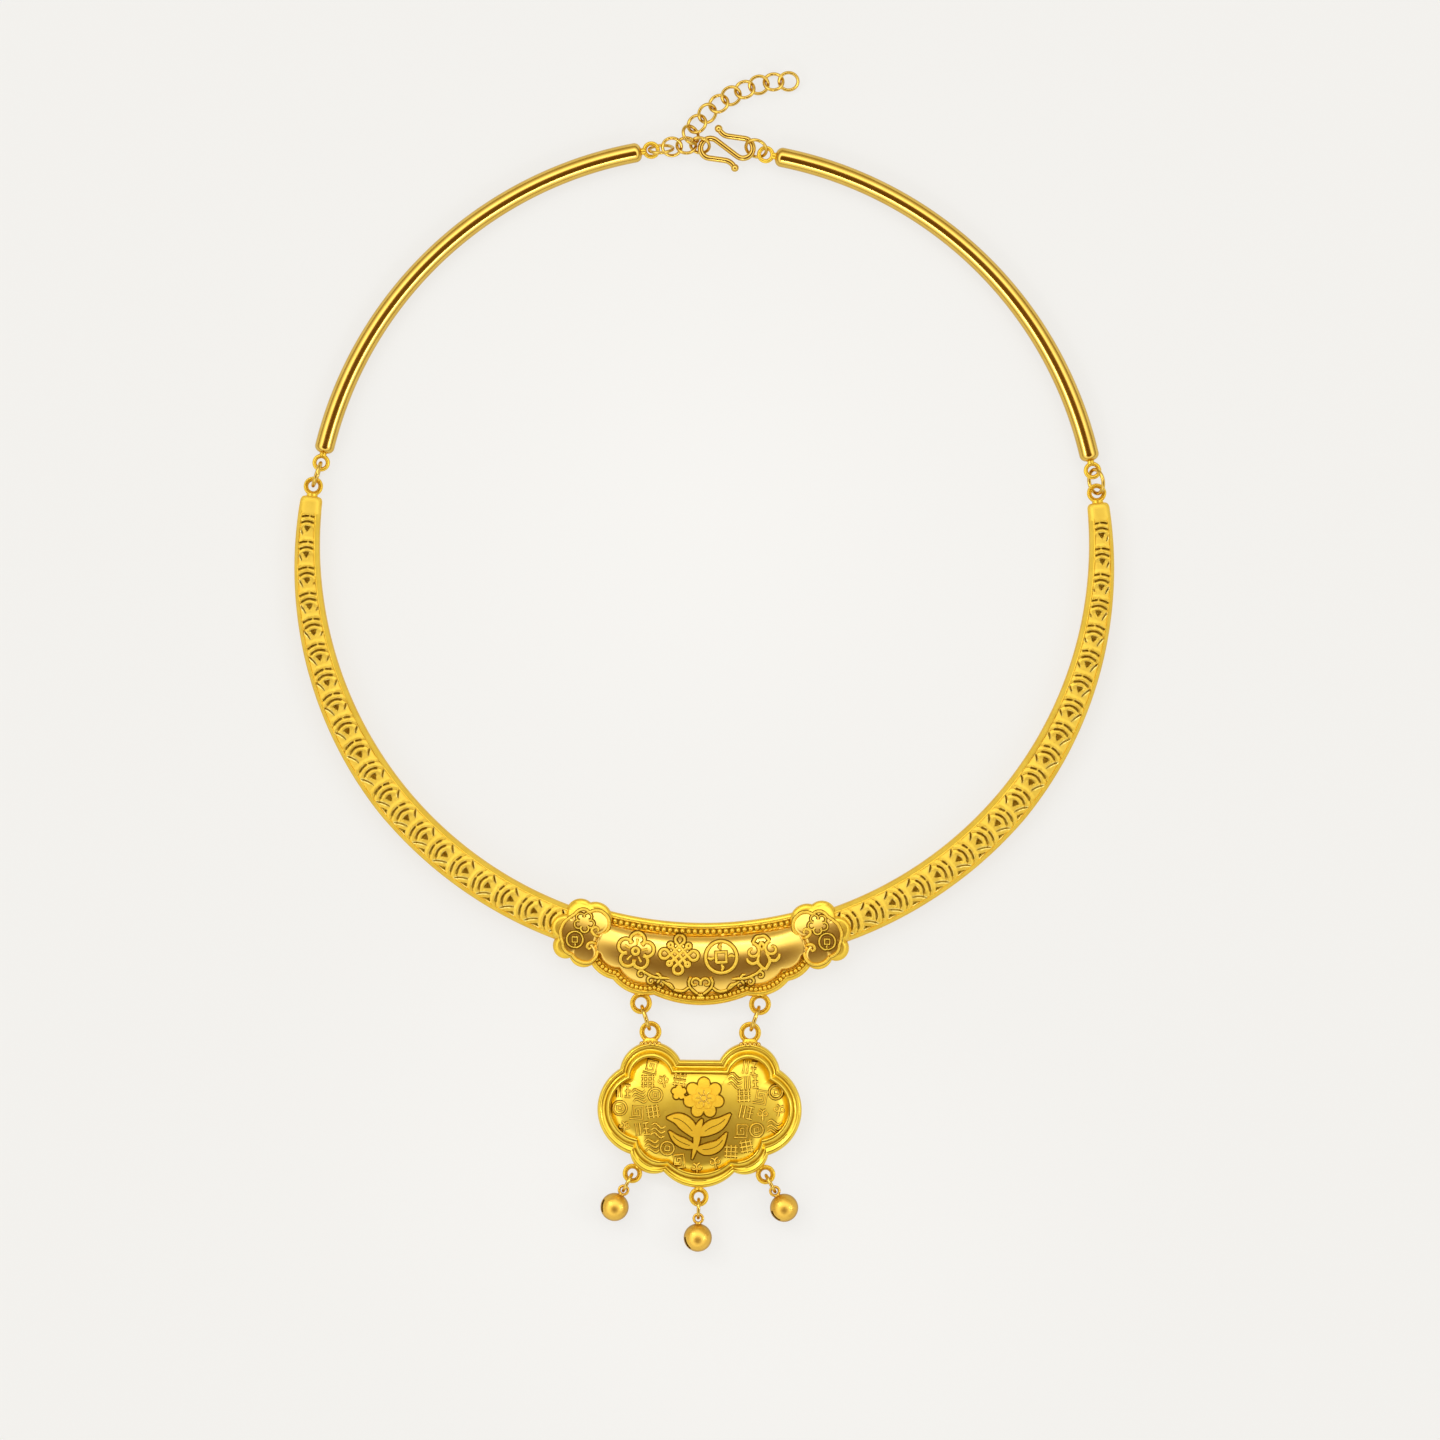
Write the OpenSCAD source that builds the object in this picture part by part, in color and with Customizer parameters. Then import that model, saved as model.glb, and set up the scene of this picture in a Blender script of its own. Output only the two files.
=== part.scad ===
// Gold collar necklace with a longevity lock, lying flat on its back.
// Millimetres. +X right, +Y towards the clasp, +Z up from the surface it lies on.
// The origin is the centre of the neck opening, on that surface.

/* [Collar] */
// Radius of the neck opening, to the inner edge of the front arms
neck_r = 65.3; // [61:0.1:70]
// Width of an arm where it meets the plaque
arm_root_w = 6.3; // [5.6:0.1:7]
// Width of an arm at its tip
arm_tip_w = 3.7; // [3.4:0.1:4.4]
// Height of an arm where it meets the plaque
arm_root_h = 4.2; // [3.6:0.1:4.5]
// Height of an arm at its tip
arm_tip_h = 3.3; // [2.9:0.1:3.8]
// Thickness of the sheet that an arm is formed from
arm_wall = 0.5; // [0.35:0.05:0.6]
// Angle from the middle of the plaque to the tip of an arm, in degrees
arm_end_a = 96.6; // [95:0.1:98]
// Angle where an arm starts to narrow, in degrees
arm_taper_a = 50; // [35:1:60]
// How far the whole front lies turned round the neck opening, in degrees
front_turn = -0.5; // [-1.2:0.1:1.2]

/* [Pierced scales] */
// Scales pierced along each arm
scale_count = 19; // [10:1:19]
// Angle from the middle of the plaque to the first scale, in degrees
scale_first_a = 23.8; // [23.4:0.1:24.2]
// Angle from one scale to the next, in degrees
scale_pitch_a = 3.75; // [3.6:0.01:3.78]
// Radius of the fan opening at the middle of a scale
fan_r = 1.2; // [0.9:0.05:1.4]
// Middle radius of the inner arc slot
slot_in_r = 2.1; // [1.9:0.05:2.3]
// Middle radius of the outer arc slot
slot_out_r = 3.15; // [2.9:0.05:3.3]
// Width of the arc slots
slot_w = 0.34; // [0.2:0.02:0.44]

/* [Plaque] */
// How far the plaque's lowest lobe reaches out from the neck opening
plaque_reach = 12.85; // [12.4:0.05:13.2]
// How far the plaque stands inside the neck opening
plaque_in = 1.1; // [0.8:0.1:1.6]
// Height of the plaque's flat border
border_h = 3; // [2.8:0.1:3.3]
// Height of the plaque's domed field above its border
dome_h = 1.6; // [1.2:0.1:1.8]
// Height of the raised ornament on the plaque and the lock
relief_h = 0.3; // [0.2:0.05:0.45]
// Beads in the upper row
bead_top_count = 29; // [19:2:31]
// Diameter of the beads of the upper row
bead_top_d = 0.8; // [0.6:0.05:0.9]
// Diameter of the beads of the lower row
bead_low_d = 0.66; // [0.45:0.02:0.7]
// Angle from the middle of the plaque to the middle of an end cartouche, in degrees
cartouche_a = 17.3; // [17:0.1:17.6]
// Length of an end cartouche across the arm
cartouche_len = 11.4; // [11:0.1:11.8]
// Height of an end cartouche, to the field inside its raised line
cartouche_h = 4.7; // [4.6:0.1:5.1]

/* [Back tubes] */
// Diameter of the polished back tubes
tube_d = 3.35; // [3.1:0.05:3.7]
// Distance from the edge of the neck opening to the middle of a back tube
tube_out = 1.77; // [1.6:0.01:1.9]
// Distance between the eyes of a back tube and of the arm next to it
tube_gap = 3.3; // [2.9:0.05:3.7]
// Distance from the middle of the collar to the upper eye of each back tube
clasp_half = 10.4; // [10.2:0.05:10.6]
// How far the left tube lies to the right of true
left_tube_x = 0.66; // [0.4:0.02:0.9]
// How far the left tube lies above true
left_tube_y = 0.64; // [0.4:0.02:0.9]
// How far the left tube lies turned, in degrees
left_tube_turn = -0.6; // [-0.9:0.1:-0.3]

/* [Lock] */
// Width of the lock over its side lobes
lock_w = 34.7; // [33.8:0.1:35.6]
// Radius of the two ears at the top of the lock
ear_r = 5.45; // [5.1:0.05:5.8]
// Radius of the two side lobes of the lock
side_r = 8.05; // [7.6:0.05:8.4]
// Radius of the two lower lobes of the lock
lower_r = 4.1; // [3.8:0.05:4.4]
// Radius of the bottom lobe of the lock
bottom_r = 8.1; // [7.7:0.05:8.4]
// Thickness of the lock at its edge
lock_edge_h = 3.2; // [3:0.1:3.5]
// Height of the lock's raised rim above its back
lock_rim_h = 4; // [3.8:0.1:4.4]
// Height of the lock's domed field above its back, at the middle
lock_dome_h = 4.6; // [4.3:0.1:4.9]
// Distance from the edge of the lock to its raised rim
rim_in = 1.3; // [1:0.05:1.5]
// Width of the lock's raised rim
rim_w = 1; // [0.8:0.05:1.2]

/* [Bells] */
// Diameter of the bells
bell_d = 4.8; // [4.3:0.1:5.3]
// Thickness of a bell's shell
bell_wall = 0.35; // [0.25:0.05:0.6]
// Width of the slit across a bell's foot
bell_slit_w = 0.4; // [0.3:0.05:0.6]
// How far the side bells lie back from the full reach of their rings
bell_slack = 0.45; // [0:0.05:0.5]

/* [Eyes and rings] */
// Outer diameter of the eyes on the tubes and the arm tips
eye_d = 3; // [2.9:0.05:3.1]
// Wire of the eyes on the tubes and the arm tips
eye_wire = 0.74; // [0.6:0.02:0.78]
// Outer diameter of the eyes between the plaque and the lock
big_eye_d = 3.75; // [3.6:0.05:4]
// Wire of the eyes between the plaque and the lock
big_eye_wire = 0.92; // [0.8:0.02:1]
// Distance from the middle of the plaque to each eye under it
plaque_eye_x = 10.1; // [9.8:0.05:10.3]
// How far each eye on the lock's ears stands outside the middle of its ear
lock_eye_off = 0.26; // [0:0.02:0.5]
// Diameter of the grains in a row at the foot of these eyes
grain_d = 0.75; // [0.6:0.05:0.8]
// Outer diameter of the eyes that hold the bells
bell_eye_d = 3.34; // [3.2:0.02:3.5]
// Wire of the eyes that hold the bells
bell_eye_wire = 0.88; // [0.7:0.02:0.9]
// Outer diameter of the eye on a bell
small_eye_d = 1.9; // [1.8:0.02:2]
// Wire of the eye on a bell
small_eye_wire = 0.44; // [0.36:0.02:0.46]
// Outer diameter of the jump rings of the collar and the lock
jump_d = 4.7; // [4.6:0.02:4.8]
// Wire of the jump rings
jump_wire = 0.6; // [0.5:0.02:0.64]
// Outer diameter of the rings of the bells
bell_ring_d = 3.74; // [3.66:0.02:3.9]
// Wire of the rings of the bells
bell_ring_wire = 0.55; // [0.45:0.01:0.56]

/* [Hook and chain] */
// Outer diameter of the chain's rings
link_d = 3.7; // [3.66:0.02:3.74]
// Wire of the chain's rings
link_wire = 0.48; // [0.4:0.02:0.5]
// Outer diameter of the chain's first ring, in the eye of the left tube
first_link_d = 4.5; // [4.4:0.05:4.6]
// Outer diameter of the ring between the hook and the right tube
hook_ring_d = 4.1; // [4.05:0.02:4.15]
// Wire of the double hook
hook_wire = 1; // [0.8:0.05:1.05]
// Radius of the hook's two round bends, to the middle of its wire
hook_bend_r = 1.68; // [1.6:0.01:1.75]
// Distance from the middle of the hook to the middle of each bend
hook_half = 2.78; // [2.7:0.01:2.9]
// Diameter of the balls at the ends of the hook
hook_ball_d = 1.36; // [1.1:0.02:1.5]

/* [Hidden] */
$fn = 48;

// Clearances between pieces, how deep soldered parts run into each other, and the
// thickness of the necks that hold the eyes of arms and tubes
gap = 0.1;
floor_gap = 0.02;
solder = 0.35;
neck_d = 1.2;

// The arms: one section, its points as shares of half the width and of the height
SECTION = [
    // across, up
    [-0.62, 0], [0.62, 0], [0.88, 0.09], [1, 0.3], [1, 0.58], [0.92, 0.8], [0.72, 0.93], [0.4, 0.985],
    [0, 1], [-0.4, 0.985], [-0.72, 0.93], [-0.92, 0.8], [-1, 0.58], [-1, 0.3], [-0.88, 0.09]
];
arm_root_a = cartouche_a + 1.2;
arm_rings = 22;
// The rounded tip: place along it and width left, as shares
TIP = [[0, 1], [0.45, 0.93], [0.8, 0.78], [1, 0.55]];
tip_len = 1.1;
sleeve_a = 2.6;

// Sizes that follow from the ones above
plaque_r = neck_r - plaque_in;
dome_top_h = border_h + dome_h;
tube_z = tube_d / 2;
big_eye_z = 2;
arm_eye_r = neck_r + arm_tip_w / 2;
tube_r = neck_r + tube_out;
arm_eye_a = arm_end_a + deg_along(eye_d / 2 + 0.15, arm_eye_r);
tube_low_eye_a = arm_eye_a - 90 + deg_along(tube_gap, tube_r);
tube_top_eye_a = acos(clasp_half / tube_r);
tube_eye_off_a = deg_along(eye_d / 2 + 0.45, tube_r);

// The plaque's lobes in the front's frame: across, distance from the neck's centre, radius.
// Each is given across, out from the neck opening and in radius, as shares of the reach.
PLAQUE_LOBES = [
    for (l = [
        [0, -0.533, 1.533],
        [0.724, 0.319, 0.56], [-0.724, 0.319, 0.56],
        [1.082, 0.249, 0.428], [-1.082, 0.249, 0.428]
    ]) plaque_reach * l + [0, neck_r, 0]
];
plaque_low_r = PLAQUE_LOBES[0][1] + PLAQUE_LOBES[0][2];
plaque_half_a = 17;
field_in = 1.9;
field_half_a = 13.9;
band_in = 2;
bead_low_in = 1.25;
plaque_eye_y = -(plaque_low_r - 0.25);

// The cartouche's lobes: along the arm, across it outwards, radius, as shares of its length
CARTOUCHE_LOBES = cartouche_len * [
    [-0.154, -0.254, 0.259], [-0.145, 0.268, 0.219], [0.079, -0.272, 0.219],
    [0.14, 0.25, 0.193], [0.241, -0.009, 0.219], [0, 0, 0.298]
];
cartouche_r = neck_r + cartouche_len / 3;
ridge_in = 1.1;
ridge_w = 0.42;

// The lock's own frame: its middle is level with the side lobes. The middles of its lobes
// and of the notch between its ears lie at these shares of its width.
lock_ears = lock_w * [[-0.236, 0.174], [0.236, 0.174]];
lock_sides = [[side_r - lock_w / 2, 0], [lock_w / 2 - side_r, 0]];
lock_lowers = lock_w * [[-0.222, -0.196], [0.222, -0.196]];
lock_bottom = lock_w * [0, -0.147];
notch_y = 0.245 * lock_w;
notch_half = 0.127 * lock_w;
lock_eye_x = lock_ears[1][0] + lock_eye_off;
lock_eye_y = lock_ears[1][1] + ear_r + big_eye_d / 2 - solder + 0.18;
side_eye = lock_lowers[1] + polar(lower_r + bell_eye_d / 2 - solder, -48.4);
bottom_eye_y = lock_bottom[1] - bottom_r - bell_eye_d / 2 + solder / 3;

// How far the rings beside the arms lean over, the left and the right one, in degrees
arm_ring_lean = [0, -32];

// Rings hang taut: the distance from eye to eye that the ring between allows
jump_z = jump_d / 2 + floor_gap;
jump_reach = chord(jump_d / 2 - jump_wire, jump_z - big_eye_z);
big_hole_r = big_eye_d / 2 - big_eye_wire;
lock_hang = 2 * (jump_reach - gap + big_hole_r);
lock_y = plaque_eye_y - lock_eye_y
    - sqrt(lock_hang * lock_hang - pow(plaque_eye_x - lock_eye_x, 2));

// The slit runs round this share of a bell's diameter, on either side of its middle
slit_share = 0.36;
bell_ring_z = bell_ring_d / 2 + 0.2;
bell_reach = chord(bell_ring_d / 2 - bell_ring_wire, bell_d / 2 - bell_ring_z);
bell_hole_r = bell_eye_d / 2 - bell_eye_wire;
small_hole_r = small_eye_d / 2 - small_eye_wire;
bell_rims = 2 * (bell_reach - gap);
bell_neck_h = 0.12;
bell_neck = bell_d / 2 + small_eye_d / 2 - bell_neck_h;

// Each bell: its eye on the lock, the angle it hangs at, its slack, the turn of its slit
BELLS = [
    [[-side_eye[0], side_eye[1]], -27.5, bell_slack, 62],
    [[0, bottom_eye_y], -1, 0, 48],
    [side_eye, 29.7, bell_slack, 58]
];

// The chain's route, from the eye of the left tube, and on to the free end.
// Each ring: place from the middle between the two upper eyes, the direction it rises
// in, and how steeply.
CHAIN = [
    [[-8.05, 0.5, 2.3], 94, -68],
    [[-6.2, 0.95, 1.4], 93, 26],
    [[-3.75, 1.2, 1.2], 89, -32],
    [[-1.45, 1.2, 1.55], 79, 42]
];
EXTENDER = [
    [[-3, 2.95, 2.4], 208, 43],
    [[-1.95, 4.85, 1.45], -42, 30],
    [[-0.2, 6.65, 1.3], -36, -33],
    [[1.75, 8.3, 1.1], -57, 28],
    [[3.85, 9.65, 1.1], -60, -28],
    [[6.15, 10.7, 1.1], -66, 28],
    [[8.55, 11.5, 1.1], -74, -28],
    [[11.05, 12, 1.1], -84, 28],
    [[13.6, 12.1, 1.1], -90, -28]
];
right_top_eye = polar(tube_r, tube_top_eye_a);
left_top_eye = spun([-right_top_eye[0], right_top_eye[1]], left_tube_turn) + [left_tube_x, left_tube_y];
clasp_mid = (right_top_eye + left_top_eye) / 2;
hook_mid = [3.1, 0.7, 1.5];
hook_ring_place = [[8.1, 0.65, 1.87], 68, 44];

function deg_along(length, r) = length / r * 180 / PI;
function chord(r, off) = sqrt(r * r - off * off);
function polar(r, a) = [r * cos(a), r * sin(a)];
function arc(c, r, a0, a1, n) = [for (k = [0 : n]) c + polar(r, a0 + (a1 - a0) * k / n)];
function front(r, a) = [r * sin(a), -r * cos(a)];
function spun(p, a) = [p[0] * cos(a) - p[1] * sin(a), p[0] * sin(a) + p[1] * cos(a)];
function taper(a) =
    let (s = min(1, max(0, (arm_end_a - a) / (arm_end_a - arm_taper_a))))
    0.5 * (s + sin(90 * s));
function arm_w(a) = arm_tip_w + (arm_root_w - arm_tip_w) * taper(a);
function arm_h(a) = arm_tip_h + (arm_root_h - arm_tip_h) * taper(a);
// One ring of an arm at angle a, its wall drawn in by t, shrunk to share k
function arm_ring(a, t, k) =
    let (hw = arm_w(a) / 2, mid = arm_h(a) / 2, rc = neck_r + hw)
    [for (s = SECTION)
        let (r = rc - k * s[0] * (hw - t), z = mid + k * (2 * s[1] - 1) * (mid - t))
        [r * sin(a), -r * cos(a), z]];

// A closed skin over rings of points
module skin(rings) {
    n = len(rings[0]);
    m = len(rings);
    sides = [for (i = [0 : m - 2], j = [0 : n - 1])
        let (a = i * n + j, b = i * n + (j + 1) % n)
        each [[a, a + n, b], [b, a + n, b + n]]];
    polyhedron(
        [for (ring = rings) each ring],
        concat([[for (j = [0 : n - 1]) j]], sides, [[for (j = [n - 1 : -1 : 0]) (m - 1) * n + j]])
    );
}

// A round ring of wire, flat on the XY plane
module ring(d, wire) {
    rotate_extrude() translate([(d - wire) / 2, 0]) circle(d = wire);
}

// A disc with bevelled edges
module button(r, h) {
    rotate_extrude() polygon([
        [0, 0], [r - 0.5, 0], [r, 0.5], [r, h - 0.8], [r - 0.25, h - 0.25], [r - 0.7, h], [0, h]
    ]);
}

// A fan and an arc slot, opening towards +X
module fan_hole(r) {
    polygon(concat([[0, 0]], arc([0, 0], r, -30, 30, 4)));
}
module arc_hole(r, w, half_a) {
    polygon(concat(
        arc([0, 0], r + w / 2, -half_a, half_a, 6), arc([0, 0], r - w / 2, half_a, -half_a, 6)
    ));
}

// The openings of one scale, cut down from its top into the hollow arm
module scale_openings(k) {
    fan_hole(fan_r * k);
    arc_hole(slot_in_r * k, slot_w, 38);
    arc_hole(slot_out_r * k, slot_w, 29);
}

// The right arm: a hollow shell, pierced with scales, closed at its tip
module arm() {
    step = (arm_end_a - deg_along(tip_len, neck_r) - arm_root_a) / arm_rings;
    tip_a = arm_end_a - deg_along(tip_len, neck_r);
    difference() {
        skin(concat(
            [for (i = [0 : arm_rings - 1]) arm_ring(arm_root_a + step * i, 0, 1)],
            [for (t = TIP) arm_ring(tip_a + t[0] * (arm_end_a - tip_a), 0, t[1])]
        ));
        skin([for (i = [0 : arm_rings - 1])
            let (a = arm_root_a + 1 + (tip_a - sleeve_a - arm_root_a - 1) * i / (arm_rings - 1))
            arm_ring(a, arm_wall, 1)]);
        for (i = [0 : scale_count - 1]) {
            a = scale_first_a + scale_pitch_a * i;
            place = front(neck_r + arm_w(a) / 2 + 0.1, a);
            translate([place[0], place[1], arm_h(a) / 2]) rotate(a)
                linear_extrude(arm_h(a)) scale_openings(0.88 + 0.12 * taper(a));
        }
    }
}

// A short round neck between two places at one height
module neck_to(p, q, z, d) {
    run = q - p;
    translate([p[0], p[1], z]) rotate([0, 90, atan2(run[1], run[0])]) cylinder(d = d, h = norm(run));
}

// The eye on an arm's tip, with its neck
module arm_eye() {
    place = front(arm_eye_r, arm_eye_a);
    rim = front(arm_eye_r, arm_eye_a - deg_along((eye_d - eye_wire) / 2, arm_eye_r));
    translate([place[0], place[1], arm_tip_h / 2]) ring(eye_d, eye_wire);
    neck_to(front(arm_eye_r, arm_end_a - 0.6), rim, arm_tip_h / 2, neck_d);
}

// The flat border plate of the plaque: a strip along the neck, and the lobes beyond it
module plaque_plate() {
    strip_r = neck_r + 0.467 * plaque_reach;
    lobes_from_r = neck_r + 0.109 * plaque_reach;
    rotate(-90 - plaque_half_a) rotate_extrude(angle = 2 * plaque_half_a) polygon([
        [plaque_r + 0.5, 0], [plaque_r, 0.5], [plaque_r, border_h - 0.6], [plaque_r + 0.6, border_h],
        [strip_r, border_h], [strip_r, 0]
    ]);
    difference() {
        for (l = PLAQUE_LOBES) translate([l[0], -l[1], 0]) button(l[2], border_h);
        translate([0, 0, -1]) cylinder(r = lobes_from_r, h = border_h + 2);
    }
}

// A dome over the plaque's field: at rise 0 it is the field, and higher it cuts the ornament
module dome(rise) {
    r_in = plaque_r + band_in;
    r_out = plaque_low_r - field_in + 0.3;
    half = (r_out - r_in) / 2;
    ball = (half * half + dome_h * dome_h) / (2 * dome_h);
    rotate(-90 - field_half_a) rotate_extrude(angle = 2 * field_half_a) intersection() {
        translate([(r_in + r_out) / 2, dome_top_h - ball]) circle(r = ball + rise, $fn = 96);
        translate([r_in, border_h - 0.4]) square([2 * half, dome_h + 1]);
    }
}
module plaque_field() {
    intersection() {
        dome(0);
        union() {
            for (l = PLAQUE_LOBES) translate([l[0], -l[1], 0]) cylinder(r = l[2] - field_in, h = 9);
            rotate(-90 - plaque_half_a) rotate_extrude(angle = 2 * plaque_half_a)
                translate([neck_r - 1, 0]) square([5.5, 9]);
        }
    }
}

// Raised ornament of the plaque: two blossoms, a coin and a knot, and a heart of two scrolls
module blossom(petal) {
    for (i = [0 : 4]) rotate(i * 72 + 90) translate([petal, 0]) circle(r = petal * 0.62);
    circle(r = petal * 0.7);
}
module coin(r) {
    difference() {
        circle(r = r);
        circle(r = r * 0.76);
    }
    difference() {
        square(r * 0.95, center = true);
        square(r * 0.5, center = true);
    }
}
module knot(r) {
    for (s = [-1, 1]) {
        rotate(45) translate([s * r * 0.42, 0]) square([r * 0.22, r * 1.5], center = true);
        rotate(-45) translate([s * r * 0.42, 0]) square([r * 0.22, r * 1.5], center = true);
    }
}
module scroll(r, w, a0, sweep) {
    rotate(a0) rotate_extrude(angle = sweep) translate([r - w / 2, 0]) square([w, 9]);
}
module on_plaque(a, r) {
    place = front(r, a);
    translate([place[0], place[1], 0]) rotate(a) children();
}
module plaque_ornament() {
    motif_r = neck_r + 0.358 * plaque_reach;
    motif_a = [3.05, 9.1];
    heart_y = 0.319 * plaque_reach - plaque_low_r;
    intersection() {
        dome(relief_h);
        union() {
            for (s = [-1, 1]) {
                on_plaque(s * motif_a[1], motif_r) linear_extrude(9) blossom(1.7);
                translate([s * 0.85, heart_y, 0]) scroll(0.85, 0.4, -40, 250);
                translate([s * 4, heart_y - 0.2, 0]) scroll(1.6, 0.36, 200, 140);
                translate([s * 7, heart_y + 0.9, 0]) scroll(1.2, 0.36, 10, 170);
            }
            on_plaque(motif_a[0], motif_r) linear_extrude(9) coin(2.5);
            on_plaque(-motif_a[0], motif_r) linear_extrude(9) knot(2.7);
        }
    }
}

// The two rows of beads on the border
module bead_rows() {
    top_r = plaque_r + 1.45;
    step = deg_along(1.055, top_r);
    for (i = [0 : bead_top_count - 1]) {
        p = front(top_r, (i - (bead_top_count - 1) / 2) * step);
        translate([p[0], p[1], border_h]) sphere(d = bead_top_d, $fn = 24);
    }
    for (s = [-1, 1]) {
        low_beads(PLAQUE_LOBES[0], s, 1, 23.5, 8);
        low_beads(PLAQUE_LOBES[1], s, -32, 22, 8);
        low_beads(PLAQUE_LOBES[3], s, 2, 38, 3);
    }
    p = PLAQUE_LOBES[0];
    translate([0, -p[1] - p[2] + bead_low_in, border_h]) sphere(d = bead_low_d, $fn = 24);
}
// Beads along one lobe, between two angles from straight down
module low_beads(lobe, s, a0, a1, count) {
    start = lobe[0] == 0 ? a1 / (count + 0.5) : a0;
    for (i = [0 : count - 1]) {
        p = front(lobe[2] - bead_low_in, start + (a1 - start) * i / (count - 1));
        translate([s * (lobe[0] + p[0]), p[1] - lobe[1], border_h]) sphere(d = bead_low_d, $fn = 24);
    }
}

// One end cartouche, on the right: a lobed plate, a raised line and a raised field
module cartouche() {
    on_plaque(cartouche_a, cartouche_r) scale([1, -1, 1]) {
        for (l = CARTOUCHE_LOBES) translate([l[0], l[1], 0]) button(l[2], border_h + 0.6);
        cartouche_disc(ridge_in, cartouche_h);
        difference() {
            cartouche_disc(ridge_in, cartouche_h + relief_h);
            cartouche_disc(ridge_in + ridge_w, cartouche_h + 1);
        }
        translate([0, 0, cartouche_h - 0.5]) linear_extrude(0.5 + relief_h) blossom(1.1);
    }
}
module cartouche_disc(t, h) {
    for (l = CARTOUCHE_LOBES) translate([l[0], l[1], 0.5]) cylinder(r = l[2] - t, h = h - 0.5);
}

// The two eyes under the plaque
module plaque_eyes() {
    for (s = [-1, 1]) translate([s * plaque_eye_x, plaque_eye_y, 0]) {
        translate([0, 0, big_eye_z]) ring(big_eye_d, big_eye_wire);
        neck_to([0, big_eye_d / 2 - 0.3], [0, big_eye_d / 2 + 0.9], big_eye_z, 1.6);
    }
}

// The front of the collar: two pierced arms soldered to the plaque
module front_collar() {
    color("goldenrod") rotate(front_turn) {
        for (s = [0, 1]) mirror([s, 0, 0]) {
            arm();
            arm_eye();
            cartouche();
        }
        plaque_plate();
        plaque_field();
        plaque_ornament();
        bead_rows();
        plaque_eyes();
    }
}

// A back tube on the right side: a bent round bar with rounded ends and two eyes
module back_tube() {
    low_a = tube_low_eye_a + tube_eye_off_a + deg_along(tube_d / 2, tube_r);
    top_a = tube_top_eye_a - tube_eye_off_a - deg_along(tube_d / 2, tube_r);
    rim_a = deg_along((eye_d - eye_wire) / 2, tube_r);
    translate([0, 0, tube_z]) {
        rotate(low_a) rotate_extrude(angle = top_a - low_a) translate([tube_r, 0]) circle(d = tube_d);
        for (a = [low_a, top_a]) rotate(a) translate([tube_r, 0, 0]) sphere(d = tube_d - 0.08);
        for (a = [tube_low_eye_a, tube_top_eye_a])
            rotate(a) translate([tube_r, 0, 0]) ring(eye_d, eye_wire);
        neck_to(polar(tube_r, low_a), polar(tube_r, tube_low_eye_a + rim_a), 0, neck_d);
        neck_to(polar(tube_r, top_a), polar(tube_r, tube_top_eye_a - rim_a), 0, neck_d);
    }
}
module place_left_tube() {
    translate([left_tube_x, left_tube_y, 0]) rotate(left_tube_turn) mirror([1, 0, 0]) children();
}
module back_tube_left() {
    color("gold") place_left_tube() back_tube();
}
module back_tube_right() {
    color("gold") back_tube();
}

// A ring standing on edge through two eyes at height eye_z, leaning over by an angle
module standing_ring(p, q, eye_z, lean) {
    mid = (p + q) / 2;
    run = q - p;
    up = (jump_d - jump_wire) / 2 - (eye_z - jump_wire / 2 - floor_gap) / cos(lean);
    translate([mid[0], mid[1], eye_z]) rotate(atan2(run[1], run[0])) rotate([90 - lean, 0, 0])
        translate([0, up, 0]) ring(jump_d, jump_wire);
}

// Where the eyes beside the arms are, seen from above: s is 1 for the right and -1 for the left
arm_eye_place = front(arm_eye_r, arm_eye_a);
function arm_eye_at(s) = spun([s * arm_eye_place[0], arm_eye_place[1]], front_turn);
tube_eye_right = polar(tube_r, tube_low_eye_a);
tube_eye_left = spun([-tube_eye_right[0], tube_eye_right[1]], left_tube_turn)
    + [left_tube_x, left_tube_y];

module arm_ring_left() {
    color("gold") standing_ring(arm_eye_at(-1), tube_eye_left, arm_tip_h / 2, arm_ring_lean[0]);
}
module arm_ring_right() {
    color("gold") standing_ring(arm_eye_at(1), tube_eye_right, arm_tip_h / 2, arm_ring_lean[1]);
}

// The lock's lobes, drawn in by t, and the plain middle that joins them
module lock_bevelled(h) {
    for (p = lock_ears) translate([p[0], p[1], 0]) button(ear_r, h);
    for (p = lock_sides) translate([p[0], p[1], 0]) button(side_r, h);
    for (p = lock_lowers) translate([p[0], p[1], 0]) button(lower_r, h);
    translate([lock_bottom[0], lock_bottom[1], 0]) button(bottom_r, h);
    translate([-notch_half - 1, 0, 0]) cube([2 * notch_half + 2, notch_y, h]);
}
module lock_shape(t) {
    for (p = lock_ears) translate(p) circle(r = ear_r - t);
    for (p = lock_sides) translate(p) circle(r = side_r - t);
    for (p = lock_lowers) translate(p) circle(r = lower_r - t);
    translate(lock_bottom) circle(r = bottom_r - t);
    translate([-notch_half - 1, -5]) square([2 * notch_half + 2, notch_y + 5 - t]);
}

// The lock's ornament: a large blossom with leaves, among rings of coins
module lock_ornament() {
    translate([0, -1.6]) {
        for (i = [0 : 7]) rotate(i * 45) translate([2.7, 0]) circle(r = 1.15);
        circle(r = 2.2);
    }
    for (s = [-1, 1], p = [[5.9, 4.6], [6.6, 0.4], [5.9, -3.8], [10.4, 2.6], [11, -1.6]])
        translate([s * p[0], p[1]]) coin(1.25);
    for (x = [-3, 0, 3]) translate([x, 4.6]) coin(1.05);
}

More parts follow.
